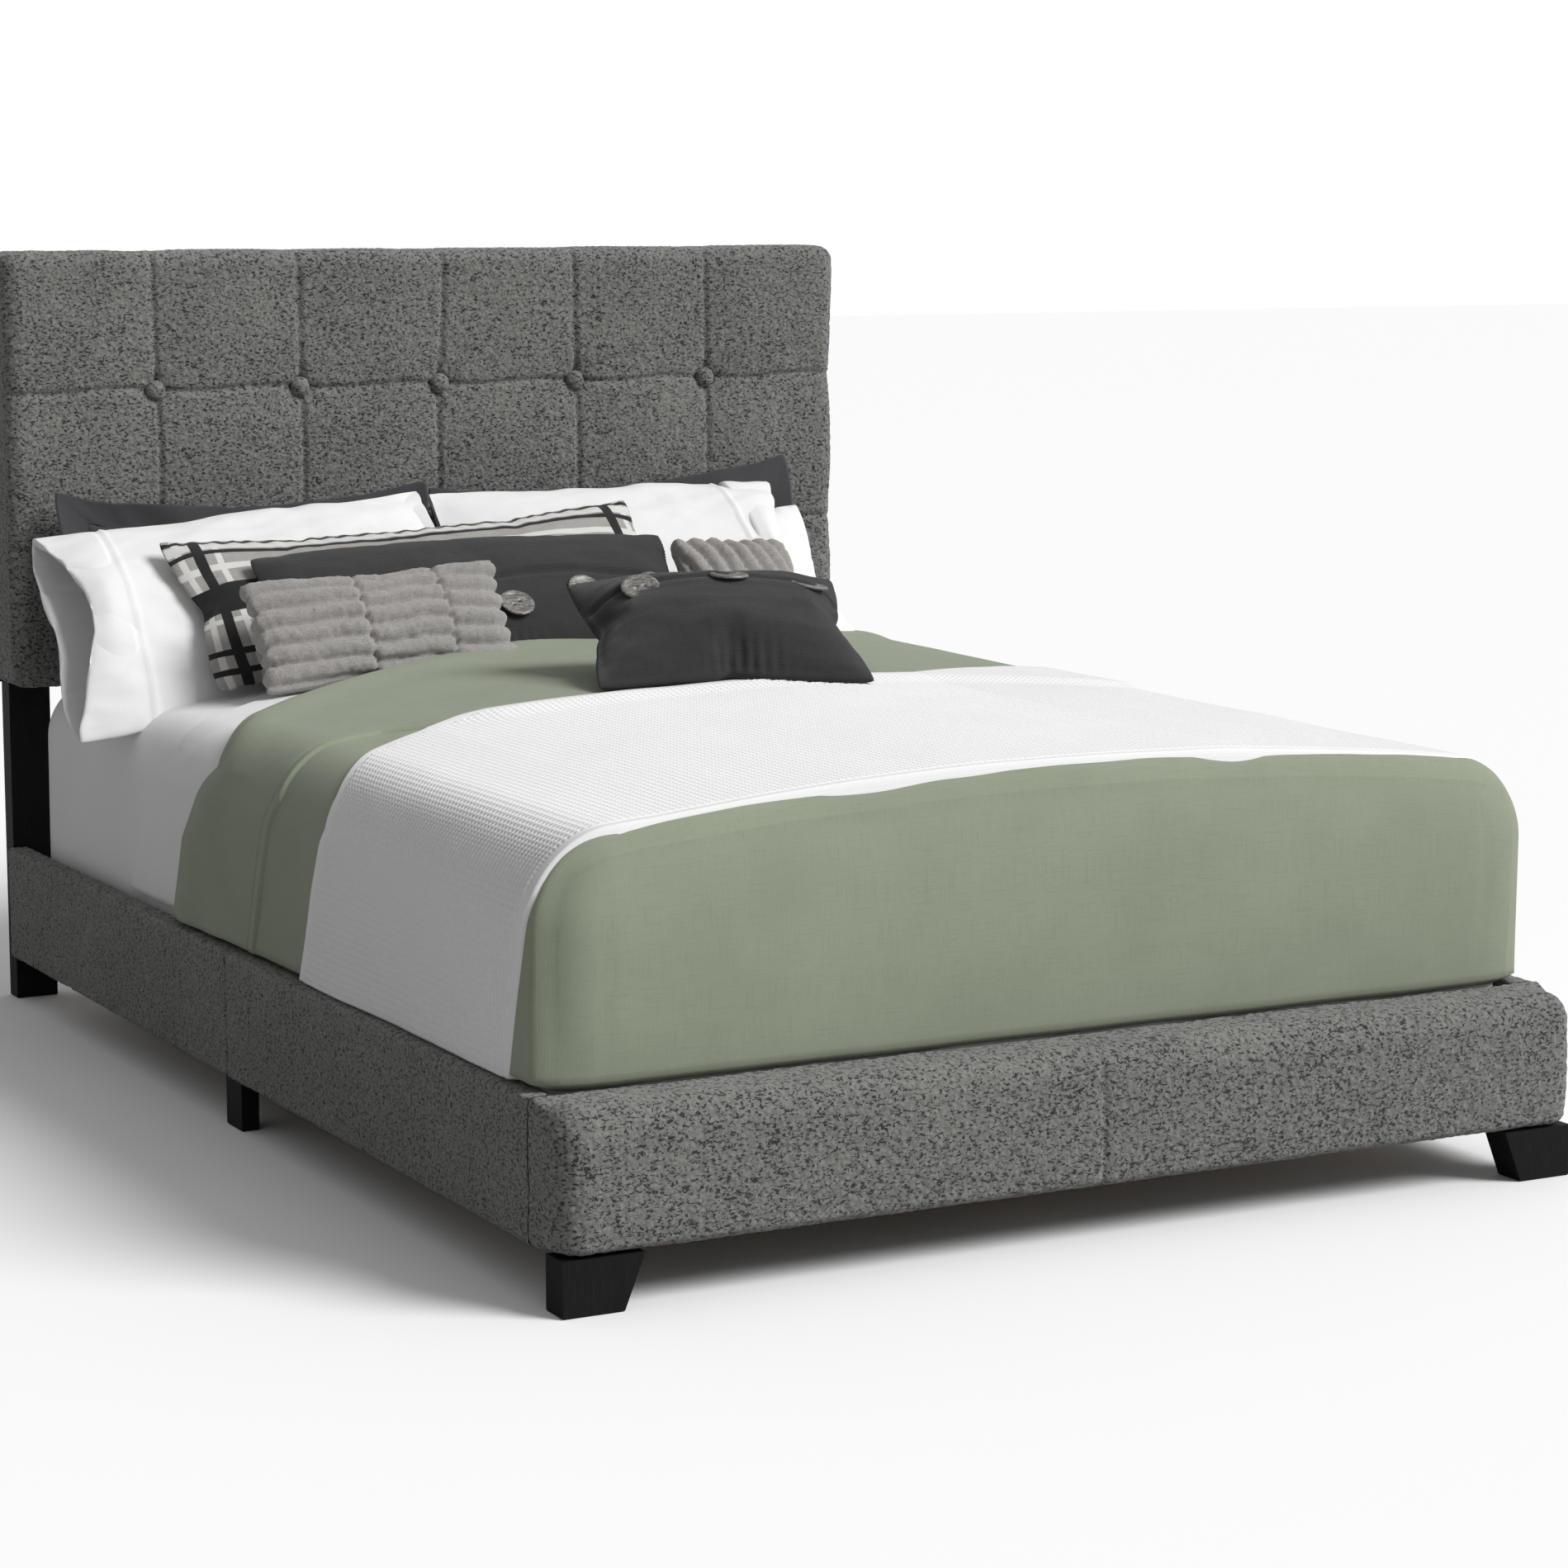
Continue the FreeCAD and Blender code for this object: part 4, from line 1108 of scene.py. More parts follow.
@dataclass
class BedForm:
    """The made bed's outline: straight sides, rounded shoulders, a crowned top.

    Args:
        low: the mattress's lowest corner.
        high: its highest corner, on the crown.
        crown: how far the crown stands above the side edges.
        shoulder: radius of the side edges.
        foot_share: thickness over the foot, as a share of that at the sides.
        floor: height of the bedding's hems.
    """

    low: Vector
    high: Vector
    crown: float = 54 * MM
    shoulder: float = 74 * MM
    foot_share: float = 0.55
    floor: float = 244 * MM

    def layer(self, grow: float, step: float, sides: Sequence[Side], floor: Optional[float] = None,
              ends: Optional[tuple] = None) -> tuple[Points, Points, Points, Points]:
        """One layer of bedding, a distance outside the mattress.

        Args:
            grow: the distance.
            step: size of the grid's squares.
            sides: the sides that are made.
            floor: the hem's height, or None for the bedding's own.
            ends: two functions of X and Z that give the layer's foot and head edges.

        Returns:
            Points, their normals, the quads and the flat cloth's coordinates.
        """
        bottom = self.floor if floor is None else floor
        half = self.high.x + grow
        foot = self.low.y - grow * self.foot_share
        top = self.high.z - MATTRESS_CROWN + grow
        radius = self.shoulder + grow
        block = SoftBlock((-half, foot, bottom), (half, self.high.y, top),
                          ((radius, radius), (0.028, 0.02), (0.002, radius)), step, sides)
        flat, faces = block.flat()
        points, unit = block.rounded(flat)
        share = smooth(points[:, 2], bottom + (top - bottom) * 0.35, top)
        points[:, 2] += self.crown * (1 - (points[:, 0] / half) ** 2) * share
        slope = 2 * self.crown * points[:, 0] / half ** 2 * smooth(unit[:, 2], 0.3, 0.9)
        unit[:, 0] += slope
        unit /= np.linalg.norm(unit, axis=1, keepdims=True)
        drop = top - flat[:, 2]
        cloth = flat[:, :2].copy()
        on_side = np.abs(np.abs(flat[:, 0]) - half) < 1e-6
        cloth[:, 0] += np.where(on_side, np.sign(flat[:, 0]) * drop, 0)
        on_foot = (np.abs(flat[:, 1] - foot) < 1e-6) & ~on_side
        cloth[:, 1] -= np.where(on_foot, drop, 0)
        if ends:
            start, stop = (end(points[:, 0], points[:, 2]) for end in ends)
            share = (points[:, 1] - foot) / (self.high.y - foot)
            points[:, 1] = start + (stop - start) * share
            cloth[:, 1] = points[:, 1]
        return points, unit, faces, cloth


def edge_line(places: Sequence[tuple]) -> Callable[[Points, Points], Points]:
    """An edge that crosses the bed, from a few places on it.

    Args:
        places: (distance across, distance along) pairs. The distance across
            runs down the sides: beyond a side's edge it is the drop.

    Returns:
        A function of X and Z that gives the edge's Y.
    """
    across = np.array([place[0] for place in places])
    along = np.array([place[1] for place in places])

    def edge(x: Points, z: Points) -> Points:
        """The edge's Y at some points."""
        drop = np.clip(SHOULDER_HEIGHT - z, 0, None)
        return np.interp(x + np.sign(x) * drop, across, along)

    return edge


@dataclass
class Bedding:
    """Mattress, sheets, comforter and blanket.

    Args:
        dresser: who finishes the pieces.
        form: the made bed's outline.
        sheet_gap: the top sheet outside the mattress.
        comforter_gap: the comforter outside the mattress.
        fold_gap: its folded-back flap outside the mattress.
        blanket_gap: the blanket outside the mattress.
        waffle: pitch of the blanket's cells.
        hem: width of the hems.
        ridge: how far the blanket's cell walls stand up.
        band: how far the top sheet runs on beneath the comforter.
        belly: how far the comforter's foot bulges.
        foot_line: the stitch lines on its foot, from the bed's middle.
        foot_tuck: the tucks at its foot corners, from the bed's middle.
        comforter_head: the comforter's head edge, as places on it.
        fold_edge: the folded flap's edge.
        blanket_head: the blanket's head edge.
        blanket_foot: its foot edge.
        sheet_head: the top sheet's head edge.
        sheet_flat: the modelled band of top sheet, laid flat; not used.
        comforter_flat: the comforter up to its fold, laid flat; not used.
        fold_flat: its folded flap, laid flat; not used.
        blanket_flat: the blanket, laid flat; not used.
    """

    dresser: Dresser
    form: BedForm
    sheet_gap: float = 5 * MM
    comforter_gap: float = 24 * MM
    fold_gap: float = 29 * MM
    blanket_gap: float = 27.5 * MM
    waffle: float = 9.6 * MM
    hem: float = 24 * MM
    ridge: float = 1.5 * MM
    band: float = 0.42
    belly: float = 0.010
    foot_line: float = 0.632
    foot_tuck: float = 0.697
    comforter_head: tuple = ((-0.97, 0.285), (-0.83, 0.235), (-0.76, 0.170), (-0.70, 0.115),
                             (-0.61, 0.205), (-0.50, 0.285), (-0.37, 0.375), (-0.18, 0.470),
                             (0.10, 0.620), (0.40, 0.700), (0.97, 0.720))
    fold_edge: tuple = ((-0.97, -0.030), (-0.80, -0.095), (-0.72, -0.135), (-0.64, -0.125),
                        (-0.55, -0.120), (-0.40, -0.170), (0.97, -0.150))
    blanket_head: tuple = ((-0.97, -0.205), (-0.83, -0.255), (-0.74, -0.300), (-0.69, -0.292),
                           (-0.60, -0.213), (-0.50, -0.142), (-0.40, -0.112), (-0.25, -0.112),
                           (0.00, -0.112), (0.28, -0.085), (0.51, 0.060), (0.70, 0.150),
                           (0.97, 0.160))
    blanket_foot: tuple = ((-0.97, -0.890), (-0.72, -0.950), (-0.60, -0.958), (0.60, -0.958),
                           (0.72, -0.950), (0.97, -0.890))
    sheet_head: tuple = ((-0.97, 0.560), (-0.83, 0.480), (-0.74, 0.400), (-0.69, 0.345),
                         (-0.60, 0.385), (-0.50, 0.450), (-0.30, 0.530), (0.00, 0.620),
                         (0.97, 0.760))
    sheet_flat: tuple = (2.0, 0.50)
    comforter_flat: tuple = (2.05, 1.75)
    fold_flat: tuple = (2.05, 0.60)
    blanket_flat: tuple = (2.05, 0.95)

    def rumple(self, points: Points, unit: Points, depth: float, pitch: float, salt: float) -> Points:
        """Points moved by broad soft undulations, stronger down the sides."""
        stretched = points * np.array((1.0, 0.7, 1.0))
        lift = clouds(stretched, pitch, 3, salt) * depth
        hang = smooth(np.abs(unit[:, 0]), 0.6, 1.0)
        upright = clouds(points * np.array((1.0, 1.0, 0.12)), pitch * 0.5, 2, salt + 3)
        lift += upright * depth * 0.9 * hang
        return points + unit * lift[:, None]

    def mattress(self) -> None:
        """The mattress in its fitted sheet, tucked under."""
        low = corner_low("mattress")
        points, unit, faces, cloth = self.form.layer(0.0, 11 * MM, tuple(Side), floor=low.z)
        pull = smooth(points[:, 1], 0.55, 0.95)
        crease = clouds(points * np.array((1.0, 1.6, 0.5)), 0.10, 3, 7.0) * 0.0022 * pull
        points = points + unit * (crease - 0.002)[:, None]
        piece = piece_from("mattress_fitted_sheet", points, faces, cloth)
        self.dresser.dress(piece, "white_cotton", BED_BODY, ("mattress",))

    def top_sheet(self) -> None:
        """The flat sheet's band that shows beyond the comforter."""
        start = edge_line(tuple((x, y - self.band) for x, y in self.comforter_head))
        points, unit, faces, cloth = self.form.layer(
            self.sheet_gap, 8 * MM, OVER_SIDES, ends=(start, edge_line(self.sheet_head)))
        slant = points @ np.array((0.25, 1.0, 0.55))
        across = points @ np.array((1.0, -0.2, 0.4))
        fold = clouds(np.stack([slant * 9, across * 1.4, points[:, 2]], axis=1), 0.5, 2, 3.0)
        points = points + unit * (fold * 0.0022)[:, None]
        piece = piece_from("top_sheet_band", points, faces, cloth)
        thicken(piece, 0.0016)
        self.dresser.dress(piece, "white_cotton", BED_BODY, ("top_sheet",))

    def comforter(self) -> None:
        """The comforter over the top, both sides and the foot."""
        points, unit, faces, cloth = self.form.layer(self.comforter_gap, 9 * MM, FOOT_SIDES)
        start = points[:, 1].copy()
        limit = edge_line(self.comforter_head)(points[:, 0], points[:, 2])
        base = self.form.low.y
        share = np.clip((start - base) / (self.form.high.y - base), 0, None)
        points[:, 1] = np.where(start > base, base + (limit - base) * share, start)
        on_foot = smooth(-unit[:, 1], 0.5, 0.95)
        cloth[:, 1] = np.where(start > base, points[:, 1], cloth[:, 1])
        points = self.rumple(points, unit, 0.0030, 0.26, 11.0)
        belly = np.sin(np.clip((points[:, 2] - self.form.floor) / 0.33, 0, 1) * math.pi)
        points = points + unit * (on_foot * belly * self.belly)[:, None]
        line = sum(bell(points[:, 0] - side * self.foot_line, 0.0022) for side in (-1, 1))
        points = points - unit * (line * on_foot * 0.0016)[:, None]
        tuck = bell(np.abs(points[:, 0]) - self.foot_tuck, 0.006) * on_foot
        points = points - unit * (tuck * 0.006)[:, None]
        piece = piece_from("comforter_sage", points, faces, cloth)
        thicken(piece, 0.006)
        self.dresser.dress(piece, "sage_linen", BED_BODY, ("comforter",))

    def fold(self) -> None:
        """The comforter's head edge, rolled over and laid back towards the foot."""
        head, edge = edge_line(self.comforter_head), edge_line(self.fold_edge)
        points, unit, faces, cloth = self.form.layer(self.comforter_gap, 8 * MM, OVER_SIDES)
        foot = points[:, 1].min()
        share = (points[:, 1] - foot) / (self.form.high.y - foot)
        stop = head(points[:, 0], points[:, 2])
        start = edge(points[:, 0], points[:, 2])
        points[:, 1] = start + (stop - start) * share
        rise = self.fold_gap - self.comforter_gap
        roll = smooth(stop - points[:, 1], 0.0, 0.035)
        puffy = bell(stop - points[:, 1] - 0.05, 0.05) * 0.006
        inward = points[:, 1] - start
        hem = bell(inward, 0.006) * 0.003 - bell(inward - self.hem, 0.003) * 0.0016
        lift = rise * roll + puffy + hem
        points = points + unit * lift[:, None]
        points[:, 1] += bell(stop - points[:, 1], 0.02) * 0.012
        cloth[:, 1] = points[:, 1]
        points = self.rumple(points, unit, 0.0028, 0.24, 11.5)
        piece = piece_from("comforter_fold", points, faces, cloth)
        thicken(piece, 0.007)
        self.dresser.dress(piece, "sage_linen", BED_BODY)

    def blanket(self) -> None:
        """The waffle blanket, its cells modelled, with plain hems at both ends."""
        ends = edge_line(self.blanket_foot), edge_line(self.blanket_head)
        pitch = self.waffle
        points, unit, faces, cloth = self.form.layer(self.blanket_gap, pitch / 3, OVER_SIDES, ends=ends)
        flap = edge_line(self.fold_edge)(points[:, 0], points[:, 2])
        over_fold = smooth(points[:, 1] - flap, -0.03, 0.03)
        points = self.rumple(points, unit, 0.0026, 0.24, 12.5)
        rise = over_fold * (self.fold_gap - self.comforter_gap + 0.002)
        foot, head = (end(points[:, 0], points[:, 2]) for end in ends)
        edge = np.minimum(points[:, 1] - foot, head - points[:, 1])
        inside = smooth(edge, self.hem - 0.002, self.hem + 0.002)
        u, v = cloth[:, 0] / pitch, cloth[:, 1] / pitch
        ridge = np.maximum(np.cos(u * 2 * math.pi), np.cos(v * 2 * math.pi))
        hem_edge = bell(edge - self.hem, 0.002) * -0.0008
        points = points + unit * (rise + ridge * self.ridge * inside + hem_edge)[:, None]
        piece = piece_from("blanket_waffle", points, faces, cloth)
        self.dresser.dress(piece, "white_waffle", BED_BODY, ("blanket",))

    def build(self) -> None:
        """Make every layer, from the mattress up."""
        self.mattress()
        self.top_sheet()
        self.comforter()
        self.fold()
        self.blanket()


# -------------------------------------------------------------------- cushions
class Form(Enum):
    """Kinds of cushion."""

    PLAIN = "plain"
    FLANGED = "flanged"
    CUFFED = "cuffed"
    FURRY = "furry"
    BUTTONED = "buttoned"


@dataclass(frozen=True)
class CushionPlan:
    """One cushion: how it is made and how it leans.

    Args:
        node: the frame's node that it stands for.
        form: its kind.
        size: width and height as it shows, in metres.
        place: its middle, from the headboard's face and the mattress's side edge,
            as (across, ahead, above).
        thick: how deep it is at its middle.
        lean: degrees that it leans back from flat.
        turn: degrees that it turns about the upright.
        roll: degrees that it rolls in its own plane.
        sag: how far its top edge sinks in the middle.
    """

    node: str
    form: Form
    size: tuple
    place: tuple
    thick: float
    lean: float = 45.0
    turn: float = 0.0
    roll: float = 0.0
    sag: float = 0.0


CLOTH = {"quality": 4, "mass": 0.25, "tension_stiffness": 12, "compression_stiffness": 3,
         "shear_stiffness": 4, "bending_stiffness": 0.12, "air_damping": 4,
         "use_pressure": True, "uniform_pressure_force": 5.0}


@dataclass
class Pillow:
    """A cushion cut flat, sewn round its edge and filled by a cloth simulation.

    Args:
        plan: what it is.
        dresser: who finishes it.
        step: size of the flat grid's squares before it is filled.
        ease: how much larger it is cut than it shows.
        flange: width of a flanged cushion's border.
        thick: depth of the unfilled cushion.
        cuff: width of an open pillow's cuff.
        square: how much of its square outline it keeps.
        opening: how far an open pillow's front edge draws back.
        channel: pitch of a fur cushion's channels.
        channel_depth: how far they stand out.
        breaks: where a wide fur cushion's channels are staggered.
        rib: pitch of the dark cushions' ribbed weave.
        flap: how far below the top edge their buttoned flap ends.
        pleat: pitch of the gathers along their lower edge.
        gather: where those gathers are strongest, from the middle.
        piece: the cushion's object, once it is cut.
        flat_size: its width and height without a border.
    """

    plan: CushionPlan
    dresser: Dresser
    step: float = 13 * MM
    ease: float = 1.07
    flange: float = 48 * MM
    thick: float = 14 * MM
    cuff: float = 105 * MM
    square: float = 0.5
    opening: float = 40 * MM
    channel: float = 27 * MM
    channel_depth: float = 12 * MM
    breaks: tuple = (-0.032, 0.100)
    rib: float = 6.5 * MM
    flap: float = 95 * MM
    pleat: float = 17 * MM
    gather: float = 0.02
    piece: Optional[bpy.types.Object] = None
    flat_size: tuple = (0.0, 0.0)

    def cut(self) -> None:
        """Two grids, one above the other, with a shared edge all round."""
        border = self.flange if self.plan.form is Form.FLANGED else 0.0
        self.flat_size = tuple(length - 2 * border for length in self.plan.size)
        if self.plan.form is Form.CUFFED:
            self.sleeve()
            return
        width, height = (length * self.ease for length in self.flat_size)
        columns, rows = (max(8, round(length / self.step)) + 1 for length in (width, height))
        x, y = np.meshgrid(np.linspace(-1, 1, columns), np.linspace(-1, 1, rows))
        bulge = (1 - x ** 4) * (1 - y ** 4)
        round_off = 1 - 0.035 * (np.abs(x) * np.abs(y)) ** 6
        waist = 1 - 0.02 * (1 - y ** 2) - 0.02 * (1 - x ** 2)
        u, v = x * width / 2, y * height / 2
        front = np.stack([u * round_off * waist, v * round_off * waist, bulge * self.thick / 2], axis=2)
        back = front * np.array((1, 1, -1))
        inner = np.zeros((rows, columns), bool)
        inner[1:-1, 1:-1] = True
        index_front = np.arange(rows * columns).reshape(rows, columns)
        index_back = index_front.copy()
        index_back[inner] = rows * columns + np.arange(inner.sum())
        points = np.concatenate([front.reshape(-1, 3), back[inner]])
        cloth = np.stack([u, v], axis=2)
        cloth = np.concatenate([cloth.reshape(-1, 2), cloth[inner]]) / self.ease

        def quads(index: Points) -> Points:
            """One grid's quads."""
            return np.stack([index[:-1, :-1], index[:-1, 1:], index[1:, 1:], index[1:, :-1]],
                            axis=2).reshape(-1, 4)

        faces = np.concatenate([quads(index_front), quads(index_back)[:, ::-1]])
        self.piece = piece_from(self.plan.node + "_soft", points, faces, cloth)
        settings = self.piece.modifiers.new("fill", "CLOTH").settings
        for name, value in CLOTH.items():
            setattr(settings, name, value)
        settings.effector_weights.gravity = 0.0

    def sleeve(self) -> None:
        """A pillow in a case whose cuffed end hangs open, with the pillow inside."""
        width, height = self.flat_size
        mirror = -1 if self.plan.place[0] > 0 else 1
        turns = 180
        share = np.r_[np.linspace(1, 0, 150), np.linspace(0.0, 0.14, 24), 0.15, 0.155]
        inset = np.r_[np.zeros(150), np.linspace(0.5, 2.0, 24) * MM, 3 * MM, 6 * MM]
        squeeze = np.r_[np.ones(174), 0.75, 0.02]
        turn = np.linspace(0, 2 * math.pi, turns, endpoint=False)
        along, angle = np.meshgrid(share, turn, indexing="ij")
        half = height / 2 * (1 - 0.025 * np.sin(along * math.pi)) - inset[:, None]
        filled = (1 - np.abs(along * 2 - 1) ** 3.2)
        deep = self.plan.thick / 2 * filled + 0.034 * smooth(along, 0.30, 0.0) - inset[:, None]
        deep = np.maximum(deep, 0.0006)
        v = half * np.sin(angle) * squeeze[:, None]
        z = deep * np.cos(angle) * np.abs(np.cos(angle)) ** 0.35
        z += 0.010 * smooth(along, 0.2, 0.0) * np.cos(v / height * 5.5)
        flare = smooth(along, 0.5, 0.0) * (0.5 - v / height) * (0.062 if mirror > 0 else 0.0)
        lip = smooth(z, -0.004, 0.012) * (1 - (2 * v / height) ** 2) * smooth(along, 0.16, 0.0)
        x = -width / 2 + along * width - flare
        x += 0.006 * np.sin(v / height * 9 + 1) * smooth(along, 0.15, 0.0) + lip * self.opening
        points = np.stack([x * mirror, v, z], axis=2).reshape(-1, 3)
        faces = ring_faces(turns, len(share))
        cloth = np.stack([along * width, v], axis=2).reshape(-1, 2)
        self.piece = piece_from(self.plan.node + "_soft", points,
                                faces if mirror < 0 else faces[:, ::-1], cloth)

    def shape_sleeve(self) -> None:
        """Creases in the open pillow, and its cuff's stitch line."""
        points, cloth, unit = points_of(self.piece), cloth_of(self.piece), normals_of(self.piece)
        edge = cloth[:, 0]
        fold = clouds(points * np.array((1.0, 2.2, 1.0)), 0.13, 3, self.plan.place[0] * 5)
        soft = clouds(points * np.array((0.5, 1.0, 1.0)), 0.045, 2, self.plan.place[0] * 9)
        stitch = bell(edge - self.cuff, 0.0035) * 0.003
        hem = smooth(edge, 0.006, 0.0) * 0.001
        points = points + unit * (fold * 0.0055 + soft * 0.0016 - stitch + hem)[:, None]
        move_points(self.piece, points)

    def fit(self) -> None:
        """Bring the filled cushion to its size and depth."""
        points = points_of(self.piece)
        low, high = points.min(axis=0), points.max(axis=0)
        wanted = np.array((*self.flat_size, self.plan.thick))
        points = (points - (low + high) / 2) * wanted / (high - low)
        points[:, :2] += (cloth_of(self.piece) - points[:, :2]) * self.square
        move_points(self.piece, points)

    def placed(self, points: Points) -> Points:
        """The cushion's own points, leant, turned and put on the bed."""
        plan = self.plan
        turn = Matrix.Rotation(math.radians(plan.turn), 3, "Z")
        lean = Matrix.Rotation(math.radians(plan.lean), 3, "X")
        roll = Matrix.Rotation(math.radians(plan.roll), 3, "Z")
        matrix = np.array(turn @ lean @ roll)
        middle = np.array((plan.place[0], HEAD_FACE - plan.place[1], BED_TOP + plan.place[2]))
        return points @ matrix.T + middle

    def channels(self, local: Points, edge: Points, salt: float) -> Points:
        """How far a fur cushion's channels stand out.

        Args:
            local: flat cloth coordinates and depth of each point.
            edge: distance from the cushion's edge.
            salt: this cushion's pattern.

        Returns:
            A distance along the normal for each point.
        """
        u, v = local[:, 0], local[:, 1]
        width, height = self.flat_size
        upright = width < height * 1.3
        across, along = (u + v * 0.25, v) if upright else (v, u)
        low, high = self.breaks
        block = (along > low).astype(float) + (along > high) if not upright else 0 * u
        wander = clouds(np.stack([along, across * 0.3, block], axis=1), 0.09, 2, salt) * 0.007
        wave = np.abs(np.sin((across + wander + block * 0.010) * math.pi / self.channel)) ** 0.7
        gap = np.minimum(np.abs(along - low), np.abs(along - high)) + upright
        lift = wave * self.channel_depth + clouds(local, 0.010, 2, salt + 1) * 0.0011
        lift += clouds(local, 0.0045, 1, salt + 2) * 0.0012 - bell(gap, 0.004) * 0.005
        return lift * smooth(edge, -0.006, 0.015)

    def placket(self, local: Points, depth: Points) -> Points:
        """How far a dark cushion's ribs, buttoned flap and gathers stand out."""
        u, v = local[:, 0], local[:, 1]
        height = self.flat_size[1]
        ribs = np.sin(v * 2 * math.pi / self.rib) * 0.0007
        flap = height / 2 - v - self.flap + 0.005 * np.sin(u * 14)
        fold = bell(flap, 0.0035) * -0.006 + smooth(flap, 0.0, 0.004) * -0.0035
        gather = bell(u - self.gather, 0.05) * smooth(-v, height * 0.2, height * 0.5)
        pleats = np.sin(u * 2 * math.pi / self.pleat) * gather * 0.0018
        return ribs + (fold + pleats) * smooth(depth, 0.0, 0.012)

    def pucker(self, local: Points, edge: Points, salt: float) -> Points:
        """How far a plain cushion's cloth stands out in small gathers at its seam."""
        u, v = local[:, 0], local[:, 1]
        width, height = self.flat_size
        pull = smooth(0.06 - edge, 0.0, 0.06)
        along = np.where(width / 2 - np.abs(u) < height / 2 - np.abs(v), v, u)
        wave = np.sin(along * 2 * math.pi / 0.032 + clouds(local, 0.05, 1, salt) * 3)
        return wave * pull * smooth(edge, 0.0, 0.01) * 0.0016

    def shape(self) -> None:
        """Finish the filled shape: creases, channels, a flap, or gathers at the seam."""
        if self.plan.form is Form.CUFFED:
            self.shape_sleeve()
            return
        self.fit()
        subdivide(self.piece)
        if self.plan.form in (Form.FURRY, Form.BUTTONED):
            subdivide(self.piece)
        points, cloth = points_of(self.piece), cloth_of(self.piece)
        unit = normals_of(self.piece)
        salt = float(sum(ord(letter) for letter in self.plan.node) % 37)
        width, height = self.flat_size
        u, v = cloth[:, 0], cloth[:, 1]
        edge = np.min([width / 2 - np.abs(u), height / 2 - np.abs(v)], axis=0)
        local = np.stack([u, v, points[:, 2]], axis=1)
        crumple = clouds(local * np.array((1.0, 1.7, 1.0)), 0.11, 3, salt) * 0.0035
        points = points + unit * (crumple * smooth(edge, 0.0, 0.05))[:, None]
        if self.plan.form is Form.FURRY:
            lift = self.channels(local, edge, salt)
        elif self.plan.form is Form.BUTTONED:
            lift = self.placket(local, points[:, 2])
        else:
            lift = self.pucker(local, edge, salt)
        points = points + unit * lift[:, None]
        sink = self.plan.sag * (1 - (u / (width / 2)) ** 2) * smooth(v, 0.0, height / 2)
        points[:, 1] -= sink
        move_points(self.piece, points)

    def border(self) -> Optional[bpy.types.Object]:
        """A flanged cushion's flat border, sewn to its edge."""
        if self.plan.form is not Form.FLANGED:
            return None
        points, cloth = points_of(self.piece), cloth_of(self.piece)
        width, height = self.flat_size
        tall = np.abs(np.abs(cloth[:, 1]) - height / 2) < 1e-4
        wide = np.abs(np.abs(cloth[:, 0]) - width / 2) < 1e-4
        rim = np.where(tall | wide)[0]
        angle = np.arctan2(cloth[rim, 1] / height, cloth[rim, 0] / width)
        rim = rim[np.argsort(angle)]
        inner = points[rim]
        out_x = np.clip(cloth[rim, 0] / (width / 2), -1, 1)
        out_y = np.clip(cloth[rim, 1] / (height / 2), -1, 1)
        steps = np.array((-0.02, 0.0, 0.12, 0.35, 0.6, 0.85, 1.0))
        way = np.stack([out_x, out_y], axis=1)
        rows = []
        arc = np.cumsum(np.linalg.norm(np.diff(inner, axis=0, prepend=inner[-1:]), axis=1))
        for share in steps:
            ring = inner.copy()
            ring[:, :2] += way * self.flange * share
            wave = clouds(np.stack([arc, 0 * arc, 0 * arc + share * 0.02], axis=1), 0.10, 2,
                          self.plan.place[0] * 7) * 0.012 * share
            wave += np.sin(arc * 2 * math.pi / 0.07) * 0.0022 * share * (1.2 - share)
            ring[:, 2] += wave
            rows.append(ring)
        ring_points = np.concatenate(rows)
        faces = ring_faces(len(rim), len(steps))
        ring_cloth = np.concatenate([cloth[rim] + way * self.flange * share for share in steps])
        piece = piece_from(self.plan.node + "_border", ring_points, faces, ring_cloth)
        subdivide(piece)
        move_points(piece, self.placed(points_of(piece)))
        thicken(piece, 0.0022)
        return piece

    def settle(self) -> None:
        """Put the cushion on the bed and hand it to the frame."""
        border = self.border()
        move_points(self.piece, self.placed(points_of(self.piece)))
        if border:
            self.piece = joined(self.plan.node + "_flanged", [self.piece, border])
        body = FRONT_BODY if self.plan.node == "button_cushion_front" else BED_BODY
        self.dresser.dress(self.piece, SLOTS[self.plan.node], body, (self.plan.node,))


